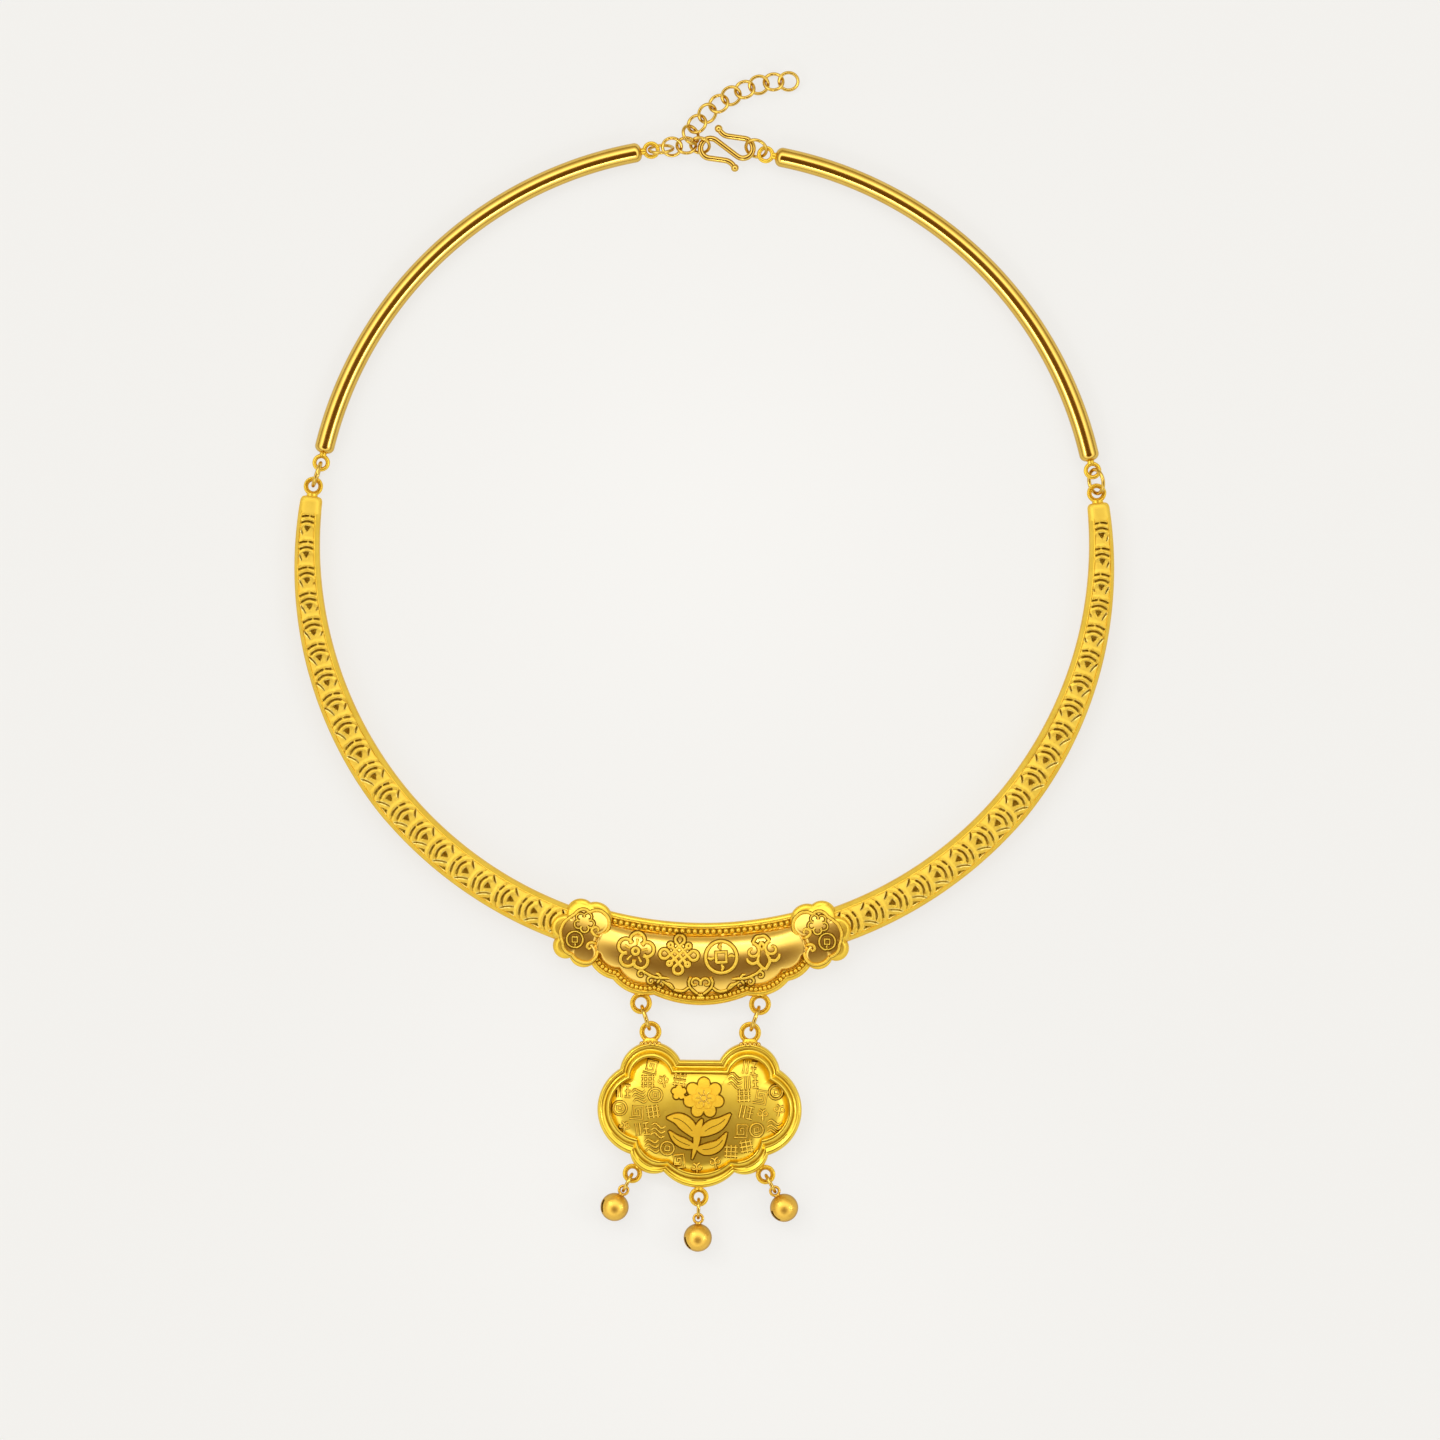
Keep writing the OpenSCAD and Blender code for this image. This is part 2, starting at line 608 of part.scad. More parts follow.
// A dome over the middle of the lock, its top raised by rise
module lock_dome(rise) {
    half = side_r + lock_sides[1][0];
    edge_h = lock_edge_h - 0.2;
    ball = (half * half + pow(lock_dome_h - edge_h, 2)) / (2 * (lock_dome_h - edge_h));
    intersection() {
        translate([0, -1, lock_dome_h + rise - ball]) sphere(r = ball, $fn = 96);
        translate([-2 * half, -2 * half, 1]) cube([4 * half, 4 * half, 2 * lock_dome_h]);
    }
}

module lock() {
    color("goldenrod") rotate(front_turn) translate([0, lock_y, 0]) {
        lock_bevelled(lock_edge_h);
        translate([0, 0, 1]) linear_extrude(lock_rim_h - 1) difference() {
            lock_shape(rim_in);
            lock_shape(rim_in + rim_w);
        }
        intersection() {
            lock_dome(0);
            translate([0, 0, 1]) linear_extrude(9) lock_shape(rim_in + rim_w - 0.05);
        }
        intersection() {
            lock_dome(relief_h);
            translate([0, 0, 2]) linear_extrude(9) lock_ornament();
        }
        for (s = [-1, 1]) translate([s * lock_eye_x, lock_eye_y, 0]) {
            translate([0, 0, big_eye_z]) ring(big_eye_d, big_eye_wire);
            neck_to([0, 0.3 - big_eye_d / 2], [0, -big_eye_d / 2 - 1], big_eye_z, 1.8);
        }
        for (s = [-1, 1], i = [-2 : 2]) {
            x = s * lock_eye_off + i * grain_d;
            translate([s * lock_ears[1][0] + x, lock_ears[1][1] + chord(ear_r, x) - 0.1, big_eye_z + 0.7])
                sphere(d = grain_d, $fn = 24);
        }
        for (b = BELLS) {
            out = b[0] / norm(b[0]);
            translate([b[0][0], b[0][1], big_eye_z]) ring(bell_eye_d, bell_eye_wire);
            neck_to(b[0] - 1.25 * out, b[0] - 2.6 * out, big_eye_z, 1.5);
        }
    }
}

module lock_ring(s) {
    color("gold") rotate(front_turn) standing_ring(
        [s * plaque_eye_x, plaque_eye_y], [s * lock_eye_x, lock_y + lock_eye_y], big_eye_z, 0);
}
module lock_ring_left() {
    lock_ring(-1);
}
module lock_ring_right() {
    lock_ring(1);
}

// Places along a bell's line, from its eye on the lock outwards
module along_bell(b, distance) {
    rotate(front_turn) translate([0, lock_y, 0]) translate(b[0]) rotate(b[1])
        translate([0, -distance, 0]) children();
}
function bell_eye_reach(b) = bell_hole_r + bell_rims - b[2] + small_hole_r;

// A bell: a hollow ball with a slit across its foot, and its eye
module bell(b) {
    slit_reach = bell_d * slit_share;
    color("gold") along_bell(b, bell_eye_reach(b) + bell_neck) translate([0, 0, bell_d / 2]) {
        rotate([0, b[3], 0]) difference() {
            sphere(d = bell_d);
            union() {
                sphere(d = bell_d - 2 * bell_wall);
                translate([-bell_slit_w / 2, -bell_d, -slit_reach])
                    cube([bell_slit_w, bell_d - 0.3, 2 * slit_reach]);
                for (s = [-1, 1]) translate([0, -0.3, s * slit_reach]) rotate([90, 0, 0])
                    cylinder(d = bell_slit_w * 1.9, h = bell_d);
            }
        }
        translate([0, bell_neck, 0]) ring(small_eye_d, small_eye_wire);
        translate([0, bell_d / 2 - bell_wall, 0]) rotate([-90, 0, 0])
            cylinder(d = 0.9, h = bell_wall + bell_neck_h);
    }
}
module bell_ring(b) {
    reach = bell_hole_r + (bell_rims - b[2]) / 2;
    color("gold") along_bell(b, reach) translate([0, 0, bell_ring_z]) rotate([90, 0, 90])
        ring(bell_ring_d, bell_ring_wire);
}
module bell_left() {
    bell(BELLS[0]);
}
module bell_middle() {
    bell(BELLS[1]);
}
module bell_right() {
    bell(BELLS[2]);
}
module bell_ring_left() {
    bell_ring(BELLS[0]);
}
module bell_ring_middle() {
    bell_ring(BELLS[1]);
}
module bell_ring_right() {
    bell_ring(BELLS[2]);
}

// A ring of the chain: it rises towards a direction, by an angle
module lying_ring(place, d) {
    p = place[0] + [clasp_mid[0], clasp_mid[1], 0];
    color("gold") translate(p) rotate(place[1]) rotate([0, -place[2], 0]) ring(d, link_wire);
}
module chain_ring(i) {
    lying_ring(CHAIN[i], i == 0 ? first_link_d : link_d);
}
module extender_ring(i) {
    lying_ring(EXTENDER[i], link_d);
}
module hook_ring() {
    lying_ring(hook_ring_place, hook_ring_d);
}

// The double hook: two round bends in one line of wire, each limb ending in a ball.
// Half of its line is worked out, and the other half is the same turned by 180 degrees.
module clasp_hook() {
    meet_a = acos(hook_bend_r / hook_half);
    bend = arc([-hook_half, 0], hook_bend_r, meet_a, 262, 12);
    limb = bend[12] + polar(2.75, -8);
    curl = arc(limb + polar(2, -98), 2, 82, 35, 4);
    half = concat(bend, curl, [curl[4] + polar(0.55, -55)]);
    last = 2 * len(half) - 1;
    line = concat([for (i = [len(half) - 1 : -1 : 0]) half[i]], [for (p = half) -p]);
    color("gold") translate([clasp_mid[0] + hook_mid[0], clasp_mid[1] + hook_mid[1], hook_mid[2]]) {
        skin([for (i = [0 : last])
            wire_points(line[i], line[min(i + 1, last)] - line[max(i - 1, 0)])]);
        for (s = [-1, 1]) translate(s * line[0]) sphere(d = hook_ball_d);
    }
}
// Twelve points round the hook's wire at p, square to its run
function wire_points(p, run) =
    let (across = [-run[1], run[0]] / norm(run), r = hook_wire / 2)
    [for (k = [0 : 11]) [
        p[0] + across[0] * r * cos(k * 30), p[1] + across[1] * r * cos(k * 30), r * sin(k * 30)
    ]];

front_collar();
back_tube_left();
back_tube_right();
arm_ring_left();
arm_ring_right();
lock();
lock_ring_left();
lock_ring_right();
bell_left();
bell_middle();
bell_right();
bell_ring_left();
bell_ring_middle();
bell_ring_right();
clasp_hook();
hook_ring();
for (i = [0 : 3]) chain_ring(i);
for (i = [0 : 8]) extender_ring(i);
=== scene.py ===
import math
import bpy
import numpy as np
from mathutils import Matrix, Vector
from mathutils.geometry import delaunay_2d_cdt


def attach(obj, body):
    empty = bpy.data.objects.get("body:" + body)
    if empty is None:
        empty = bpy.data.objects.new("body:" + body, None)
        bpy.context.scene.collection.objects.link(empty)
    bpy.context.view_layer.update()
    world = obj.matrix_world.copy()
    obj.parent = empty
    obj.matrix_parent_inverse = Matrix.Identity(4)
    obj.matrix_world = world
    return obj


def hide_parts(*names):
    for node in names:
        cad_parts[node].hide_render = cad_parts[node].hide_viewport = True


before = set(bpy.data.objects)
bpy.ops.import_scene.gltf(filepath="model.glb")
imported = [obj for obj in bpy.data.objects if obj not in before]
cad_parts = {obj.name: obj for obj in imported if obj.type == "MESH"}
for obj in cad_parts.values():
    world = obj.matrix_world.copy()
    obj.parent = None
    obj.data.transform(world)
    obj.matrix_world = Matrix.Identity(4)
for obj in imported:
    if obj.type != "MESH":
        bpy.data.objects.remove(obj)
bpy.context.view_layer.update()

# The table and the studio: the necklace lies on its back on a sheet of pale paper and is
# photographed from straight above, in a bright tent that is dark round the camera.
mm = 0.001
bpy.ops.mesh.primitive_plane_add(size=6, location=(0, 0, -0.05 * mm))
sheet = bpy.context.object
sheet.name = "table"
paper = bpy.data.materials.new("pale paper")
paper.use_nodes = True
paper_face = paper.node_tree.nodes["Principled BSDF"].inputs
paper_face["Base Color"].default_value = (0.18, 0.18, 0.18, 1)
paper_face["Emission Color"].default_value = (0.718, 0.716, 0.704, 1)
paper_face["Emission Strength"].default_value = 1
paper_face["Roughness"].default_value = 0.9
paper_face["Specular IOR Level"].default_value = 0.1
sheet.data.materials.append(paper)


def put_in_scene(name, data):
    holder = bpy.data.objects.new(name, data)
    bpy.context.scene.collection.objects.link(holder)
    return holder


camera_height, width_in_view, film_width = 1.3, 0.2448, 36
camera_data = bpy.data.cameras.new("camera")
camera_data.sensor_width = film_width
camera_data.lens = film_width * camera_height / width_in_view
camera_data.clip_start = 0.05
camera = put_in_scene("camera", camera_data)
camera.location = (2.635 * mm, -29.75 * mm, camera_height)
bpy.context.scene.camera = camera
bpy.context.scene.view_settings.view_transform = "Standard"


def shader_outputs(tree, kind, settings=(), values=()):
    """The outputs of a new node; each of its inputs gets a value or another node's output."""
    made = tree.nodes.new("ShaderNode" + kind)
    for name, value in dict(settings).items():
        setattr(made, name, value)
    for place, value in dict(values).items():
        if isinstance(value, bpy.types.NodeSocket):
            tree.links.new(value, made.inputs[place])
        else:
            made.inputs[place].default_value = value
    return made.outputs


# The tent is dark brown at the top, bright round that, dim below, and stronger on the tubes' side
world = bpy.data.worlds.new("studio")
bpy.context.scene.world = world
world.use_nodes = True
sky = world.node_tree
sky_back = sky.nodes["Background"]
sky_place = shader_outputs(sky, "TexCoord")["Generated"]
sky_up, sky_side = (
    shader_outputs(sky, "VectorMath", {"operation": "DOT_PRODUCT"}, {0: sky_place, 1: direction})["Value"]
    for direction in ((0, -0.26, 0.966), (-0.1, 0.35, 0)))
tent = sky.nodes.new("ShaderNodeValToRGB")
sky.links.new(sky_up, tent.inputs[0])
tent_stops = [
    (0, (0.2, 0.15, 0.08)), (0.26, (0.34, 0.3, 0.22)), (0.5, (0.72, 0.69, 0.62)),
    (0.62, (1, 0.99, 0.95)), (0.79, (1, 0.98, 0.93)), (0.855, (0.45, 0.34, 0.18)),
    (0.89, (0.13, 0.06, 0.012)), (1, (0.09, 0.04, 0.006))
]
for stop in tent_stops[2:]:
    tent.color_ramp.elements.new(stop[0])
for element, (at, colour) in zip(tent.color_ramp.elements, tent_stops):
    element.position = at
    element.color = (*colour, 1)
sky.links.new(tent.outputs[0], sky_back.inputs["Color"])
sky_strength = shader_outputs(sky, "Math", {"operation": "MULTIPLY_ADD"}, {0: sky_side, 1: 1.5, 2: 1.68})[0]
sky.links.new(sky_strength, sky_back.inputs["Strength"])


def lamp_at(name, kind, place, aim, power):
    lamp = bpy.data.lights.new(name, kind)
    lamp.energy = power
    holder = put_in_scene(name, lamp)
    holder.location = place
    holder.rotation_euler = (Vector(aim) - Vector(place)).to_track_quat("-Z", "Y").to_euler()
    return lamp


collar_lamp = lamp_at("lamp over the collar", "AREA", (0, 0.005, 0.064), (0, 0.005, 0), 0.008)
collar_lamp.size = 0.02

# Two narrow lamps put a soft light on the upper left and the upper right of each bell
for side, place in (("left", (-0.17, 0.045, 0.19)), ("right", (0.25, -0.105, 0.16))):
    bell_lamp = lamp_at("bell lamp " + side, "SPOT", place, (-0.001, -0.114, 0.002), 1.5)
    bell_lamp.shadow_soft_size = 0.04
    bell_lamp.spot_size = math.radians(9)
    bell_lamp.spot_blend = 0.8

# The arms of the collar: satin gold tubes formed from sheet, open along the top, where a strip
# pierced with rows of scales is let in between two thin rims. A plain sleeve closes each tip.
neck_r = 65.3
front_turn = math.radians(-0.5)
arm_root_a, arm_sleeve_a, arm_end_a = 18.5, 94.0, 96.6


def gold_surface():
    """Gold with cloudy patches of a deeper colour, painted shade in that colour on faces turned away from
    straight up, and a fine grain.
    """
    group = bpy.data.node_groups.new("gold surface", "ShaderNodeTree")
    for way, kind, names in (
            ("INPUT", "Color", ("Colour", "Deep Colour")),
            ("INPUT", "Float", ("Mottle", "Side", "Grain Size", "Grain Height", "Roughness")),
            ("OUTPUT", "Color", ["Colour"]), ("OUTPUT", "Float", ["Roughness"]),
            ("OUTPUT", "Vector", ["Normal"])):
        for name in names:
            group.interface.new_socket(name, in_out=way, socket_type="NodeSocket" + kind)
    given = group.nodes.new("NodeGroupInput").outputs
    out = group.nodes.new("NodeGroupOutput").inputs

    def outputs(kind, values, **settings):
        return shader_outputs(group, kind, settings, values)

    place = outputs("TexCoord", {})["Object"]
    cloud = outputs("TexNoise", {"Vector": place, "Scale": 420, "Detail": 3})["Fac"]
    grain = outputs("TexNoise", {"Vector": place, "Scale": given["Grain Size"], "Detail": 4})["Fac"]
    spread = outputs("MapRange", {"Value": cloud, "From Min": 0.35, "From Max": 0.65})["Result"]
    patches = outputs("Math", {0: spread, 1: given["Mottle"]}, operation="MULTIPLY")[0]
    up = outputs("SeparateXYZ", {0: outputs("NewGeometry", {})["True Normal"]})["Z"]
    # Faces that turn away from straight up take the deep colour: painted shade on their sides
    side_shade = outputs("MapRange", {"Value": up, "From Min": 0.85, "From Max": 0.1},
                    interpolation_type="SMOOTHSTEP")["Result"]
    patches_and_side_shade = outputs("Math", {0: side_shade, 1: given["Side"], 2: patches},
                     operation="MULTIPLY_ADD", use_clamp=True)[0]
    mixed = outputs("Mix", {"Factor": patches_and_side_shade, 6: given["Colour"], 7: given["Deep Colour"]},
                    data_type="RGBA")[2]
    rough = outputs("Math", {0: grain, 1: 0.08, 2: given["Roughness"]}, operation="MULTIPLY_ADD")[0]
    height = {"Distance": 0.02 * mm, "Strength": given["Grain Height"], "Height": grain}
    bump = outputs("Bump", height)["Normal"]
    for name, value in (("Colour", mixed), ("Roughness", rough), ("Normal", bump)):
        group.links.new(value, out[name])
    return group


gold_group = gold_surface()


# The deep colour serves both the cloudy patches and, on steep faces, painted shade; side sets how strong that
# shade is
def gold(name, colour, deep, mottle, grain, height, roughness, side=0.8):
    made = bpy.data.materials.new(name)
    made.use_nodes = True
    tree = made.node_tree
    shader = tree.nodes["Principled BSDF"]
    shader.inputs["Metallic"].default_value = 1
    surface = shader_outputs(tree, "Group", {"node_tree": gold_group}, {
        "Colour": (*colour, 1), "Deep Colour": (*deep, 1), "Mottle": mottle, "Side": side,
        "Grain Size": grain, "Grain Height": height, "Roughness": roughness})
    for given, socket in (("Colour", "Base Color"), ("Roughness", "Roughness"), ("Normal", "Normal")):
        tree.links.new(surface[given], shader.inputs[socket])
    return made


satin_gold = gold("satin gold", (1.0, 0.71, 0.09), (0.78, 0.48, 0.02), 0.3, 9000, 0.5, 0.38)
matt_gold = gold("matt gold", (1.0, 0.75, 0.12), (0.84, 0.54, 0.04), 0.25, 9000, 0.6, 0.54)
# A darker gold laid in the eyes' grooves and along the strip's grooves: painted shade in recesses
groove_shade_gold = gold("painted groove shade", (0.8, 0.53, 0.05), (0.62, 0.36, 0.02), 0.3, 5000, 0.3, 0.38)
# A paler gold for the chamfers and cut walls of the openings: a painted glint on their polished bright-cut
# finish
cut_glint_gold = gold("bright cut gold with painted glint", (1.0, 0.82, 0.25), (1.0, 0.76, 0.16), 0.2, 5000, 0.1, 0.3)


def taper(a):
    share = np.clip((arm_end_a - a) / (arm_end_a - 50), 0, 1)
    return 0.5 * (share + np.sin(np.pi / 2 * share))


def arm_half(a):
    return (3.7 + 2.6 * taper(a)) / 2


def arm_high(a):
    return 3.3 + 0.9 * taper(a)


def crown(y, a):
    share = np.abs(y) / arm_half(a)
    return arm_high(a) * np.interp(share, [0, 0.4, 0.72, 0.92, 1], [1, 0.985, 0.93, 0.8, 0.58])


def round_neck(r, a, z):
    """Points at a radius from the neck's middle, at an angle in degrees from the front."""
    turn = np.radians(a)
    return np.stack([r * np.sin(turn), -r * np.cos(turn), z], -1)


def along_neck(a, y, z, half):
    return round_neck(neck_r + half - y, a, z) * mm


def selected(name):
    piece = bpy.context.object
    piece.name = name
    piece.data.name = name
    return piece


def alone(piece):
    bpy.ops.object.select_all(action="DESELECT")
    piece.select_set(True)
    bpy.context.view_layer.objects.active = piece
    return piece


def smooth(angle):
    bpy.ops.object.shade_smooth_by_angle(angle=math.radians(angle))


def closed(piece, angle):
    bpy.ops.object.mode_set(mode="EDIT")
    bpy.ops.mesh.select_mode(type="EDGE")
    bpy.ops.mesh.select_all(action="SELECT")
    bpy.ops.mesh.remove_doubles(threshold=0.002 * mm)
    bpy.ops.mesh.fill_holes(sides=0)
    bpy.ops.mesh.select_all(action="SELECT")
    bpy.ops.mesh.normals_make_consistent(inside=False)
    bpy.ops.object.mode_set(mode="OBJECT")
    smooth(angle)
    return piece


def points_of(piece):
    return np.array([tuple(point.co) for point in piece.data.vertices])


def moulded(name, cols, rows, place, angle):
    """A grid whose points are moved by place(u, v); edges that meet are merged, holes closed."""
    bpy.ops.mesh.primitive_grid_add(x_subdivisions=cols, y_subdivisions=rows, size=2)
    piece = selected(name)
    u, v, _ = (points_of(piece).T + 1) / 2
    piece.data.vertices.foreach_set("co", place(u, v).ravel())
    return closed(piece, angle)


def joined(name, pieces):
    bpy.ops.object.select_all(action="DESELECT")
    for piece in pieces:
        piece.select_set(True)
    bpy.context.view_layer.objects.active = pieces[0]
    bpy.ops.object.join()
    return selected(name)


def painted(piece, finish):
    piece.data.materials.clear()
    piece.data.materials.append(finish)
    return piece


def with_width(line):
    return np.array([(*point, 1.0)[:3] for point in line])


def raised_lines(name, lines, width, surface, finish, lift, resolution=2):
    """Round wires along lines of (x, y) or (x, y, share of width), at a lift over a surface."""
    curve = bpy.data.curves.new(name, "CURVE")
    curve.dimensions = "3D"
    curve.bevel_depth = width / 2 * mm
    curve.bevel_resolution = resolution
    curve.use_fill_caps = True
    for line in map(with_width, lines):
        z = surface(line[:, 0], line[:, 1]) + lift
        spline = curve.splines.new("POLY")
        spline.points.add(len(line) - 1)
        for point, at, height in zip(spline.points, line, z):
            point.co = (at[0] * mm, at[1] * mm, height * mm, 1)
            point.radius = at[2]
    alone(put_in_scene(name, curve))
    bpy.ops.object.convert(target="MESH")
    smooth(60)
    return painted(selected(name), finish)


# The channel that the strip lies in: rows run once round its wall, over the rim next to the
# neck, down the outside, under, up over the far rim and back along the inside
NECK_RIM = [(0.98, -0.7), (0.98, 0.0), (0.93, 0.09), (0.84, 0.12), (0.75, 0.08), (0.68, -0.03)]
FAR_RIM = [(-0.45, -0.03), (-0.52, 0.08), (-0.6, 0.12), (-0.69, 0.09), (-0.74, 0.0), (-0.74, -0.7)]
WALL = [(0.92, 0.8), (0.97, 0.7), (1, 0.58), (1, 0.3), (0.96, 0.18), (0.88, 0.09), (0.76, 0.03), (0.62, 0)]
INSIDE = [(0.6, 0.13), (0.8, 0.25), (0.8, 0.5)]
CHANNEL_ROWS = len(NECK_RIM + FAR_RIM) + 2 * len(WALL + INSIDE)


def channel(u, v):
    a = arm_root_a + (arm_sleeve_a + 0.3 - arm_root_a) * u
    half, high = arm_half(a), arm_high(a)

    def on_rim(inset, lift):
        y = math.copysign(1, inset) * (half - abs(inset))
        return y, crown(y, a) + lift

    rims = [[on_rim(*row) for row in rim] for rim in (NECK_RIM, FAR_RIM)]
    walls = [[(share * half, up * high) for share, up in rows]
             for rows in (WALL, [(-share, up) for share, up in WALL[::-1]],
                          [(-share, up) for share, up in INSIDE[::-1]], INSIDE)]
    rows = np.array([*rims[0], *walls[0], *walls[1], *rims[1], *walls[2], *walls[3], rims[0][0]])
    index = np.rint(v * CHANNEL_ROWS).astype(int)
    y, z = rows[index, :, np.arange(len(index))].T
    return along_neck(a, y, z, half)


arm_walls = painted(moulded("arm walls", 180, CHANNEL_ROWS, channel, 50), satin_gold)


# The plain sleeve: the whole section, drawn in at its end to a blunt rounded tip
def sleeve(u, v):
    a = arm_sleeve_a + (arm_end_a - arm_sleeve_a) * u
    x = np.clip((a - arm_end_a + 1.0) / 1.0, 0, 1)
    draw = 0.45 + 0.55 * (1 - x ** 2.6) ** (1 / 2.6)
    turn = v * 2 * np.pi
    half, high = arm_half(a), arm_high(a)
    c, s = np.cos(turn), np.sin(turn)
    y = draw * half * np.sign(c) * np.abs(c) ** 0.62
    z = high / 2 + draw * high / 2 * np.sign(s) * np.abs(s) ** 0.72
    return along_neck(a, y, z, half)


arm_sleeve = painted(moulded("arm sleeve", 24, 64, sleeve, 60), matt_gold)

# The strip is sawn from sheet and chased. Its outline and every opening are drawn flat, x along
# the arm and y towards the neck, filled with small triangles, laid on the arm's crown and given
# the sheet's thickness.
degree_mm = 68.4 * math.pi / 180
scale_step = 3.75
scale_places = [23.8 + scale_step * i for i in range(-1, 19)]


def scale_size(a):
    return 0.88 + 0.12 * taper(a)


def arc_slot(r, width, a0, a1, n=9):
    turn = np.radians(np.linspace(a0, a1, n))
    outer = np.stack([np.cos(turn), np.sin(turn)], -1)
    cap0 = [outer[0] * r + 0.4 * width * np.array([outer[0][1], -outer[0][0]])]
    cap1 = [outer[-1] * r + 0.4 * width * np.array([-outer[-1][1], outer[-1][0]])]
    return np.array([*cap0, *(outer * (r + width / 2)), *cap1, *(outer[::-1] * (r - width / 2))])


def line_slot(p, q, width, bow):
    p, q = np.array(p), np.array(q)
    run = (q - p) / np.linalg.norm(q - p)
    side = np.array([-run[1], run[0]])
    t = np.linspace(0, 1, 7)[:, None]
    line = p + (q - p) * t + side * bow * 4 * t * (1 - t)
    wide = width / 2 * (0.55 + 0.45 * np.sin(np.pi * t))
    return np.array([*(line - side * wide), q + run * 0.08, *(line + side * wide)[::-1], p - run * 0.08])


SCALE_OPENINGS = [
    np.array([[0.12, 0], [0.95, -0.56], *(1.2 * np.array([[np.cos(t), np.sin(t)]
              for t in np.radians([-26, -15, 0, 15, 26])])), [0.95, 0.56]]),
    arc_slot(2.1, 0.28, -38, 38, 11), arc_slot(3.15, 0.26, -31, 1), arc_slot(3.15, 0.24, 9, 27, 5),
    line_slot((-0.15, 1.2), (0.8, 2.15), 0.34, -0.08), line_slot((-0.35, -0.85), (1.6, -2.12), 0.3, 0.16),
    np.array([[-0.85, 2.2], [-0.65, 1.85], [-0.35, 2.12], [-0.5, 2.28]]),
    np.array([[0.6, -2.2], [-0.62, -1.6], [-0.95, -2.1], [-0.9, -2.24]])
]


def clipped(loop, level, keep_below):
    out = []
    for p, q in zip(loop, np.roll(loop, -1, 0)):
        inside_p, inside_q = ((p[1] <= level) == keep_below), ((q[1] <= level) == keep_below)
        if inside_p:
            out.append(p)
        if inside_p != inside_q:
            out.append(p + (q - p) * (level - p[1]) / (q[1] - p[1]))
    return np.array(out)


def area(loop):
    x, y = loop[:, 0], loop[:, 1]
    return 0.5 * np.sum(x * np.roll(y, -1) - y * np.roll(x, -1))


def tidy_loop(loop, least=0.03):
    kept = [loop[0]]
    for p in loop[1:]:
        if np.linalg.norm(p - kept[-1]) > least:
            kept.append(p)
    if len(kept) > 1 and np.linalg.norm(kept[0] - kept[-1]) < least:
        kept.pop()
    kept = np.array(kept)
    return kept if area(kept) > 0 else kept[::-1]


def grown(loop, by):
    before, after = loop - np.roll(loop, 1, 0), np.roll(loop, -1, 0) - loop
    before /= np.linalg.norm(before, axis=1)[:, None]
    after /= np.linalg.norm(after, axis=1)[:, None]
    run = before + after
    run /= np.maximum(np.linalg.norm(run, axis=1), 0.3)[:, None]
    return loop + by * np.stack([run[:, 1], -run[:, 0]], -1)


def inside(points, loop):
    hit = np.zeros(len(points), bool)
    for p, q in zip(loop, np.roll(loop, -1, 0)):
        crosses = (p[1] > points[:, 1]) != (q[1] > points[:, 1])
        with np.errstate(divide="ignore", invalid="ignore"):
            x = p[0] + (points[:, 1] - p[1]) * (q[0] - p[0]) / (q[1] - p[1])
        hit ^= crosses & (points[:, 0] < x)
    return hit


def zoned(piece, finishes, zone):
    """Gives each face of a piece the finish of its zone."""
    for finish in finishes:
        piece.data.materials.append(finish)
    piece.data.polygons.foreach_set("material_index", np.array(zone, int))


def triangles(points, edges):
    """Triangles that keep the edges; origin tells which given points each corner stands for."""
    flat, _, faces, origin, _, _ = delaunay_2d_cdt([Vector(p) for p in points], edges, [], 0, 1e-5)
    return np.array([tuple(p) for p in flat]), np.array(faces), origin


def sheet_with_openings(outline, openings, filling):
    """Flat triangles inside the outline, without the openings; each opening has a chamfer."""
    chamfer = 0.13
    points, edges, chamfered = [], [], []
    loops = [(outline, 0)]
    for hole in openings:
        loops += [(grown(hole, chamfer), 1), (hole, 2)]
    for loop, kind in loops:
        start = len(points)
        points += [*loop]
        edges += [(start + i, start + (i + 1) % len(loop)) for i in range(len(loop))]
        chamfered += [kind] * len(loop)
    taken = np.zeros(len(filling), bool)
    for hole in openings:
        wide = grown(hole, chamfer + 0.1)
        near = (np.abs(filling - wide.mean(0)) < np.ptp(wide, 0)).all(1) & ~taken
        taken[near] |= inside(filling[near], wide)
    points += [*filling[~taken & inside(filling, outline)]]
    chamfered += [0] * (len(points) - len(chamfered))
    flat, faces, origin = triangles(points, edges)
    kinds = np.array([max([chamfered[k] for k in from_] or [0]) for from_ in origin])
    middle = flat[faces].mean(1)
    kept = inside(middle, outline)
    for hole in openings:
        near = (np.abs(middle - hole.mean(0)) < np.ptp(hole, 0)).all(1) & kept
        kept[near] &= ~inside(middle[near], hole)
    return flat, faces[kept], kinds


def arm_openings():
    openings = []
    for a in scale_places:
        half = float(arm_half(a))
        for shape in SCALE_OPENINGS:
            loop = clipped(shape * scale_size(a) + [a * degree_mm, -0.1], half - 1.16, True)
            if len(loop) > 2:
                loop = clipped(loop, 0.92 - half, False)
            if len(loop) > 2:
                loop = tidy_loop(loop)
                if len(loop) > 3 and area(loop) > 0.05:
                    openings.append(loop)
    return openings


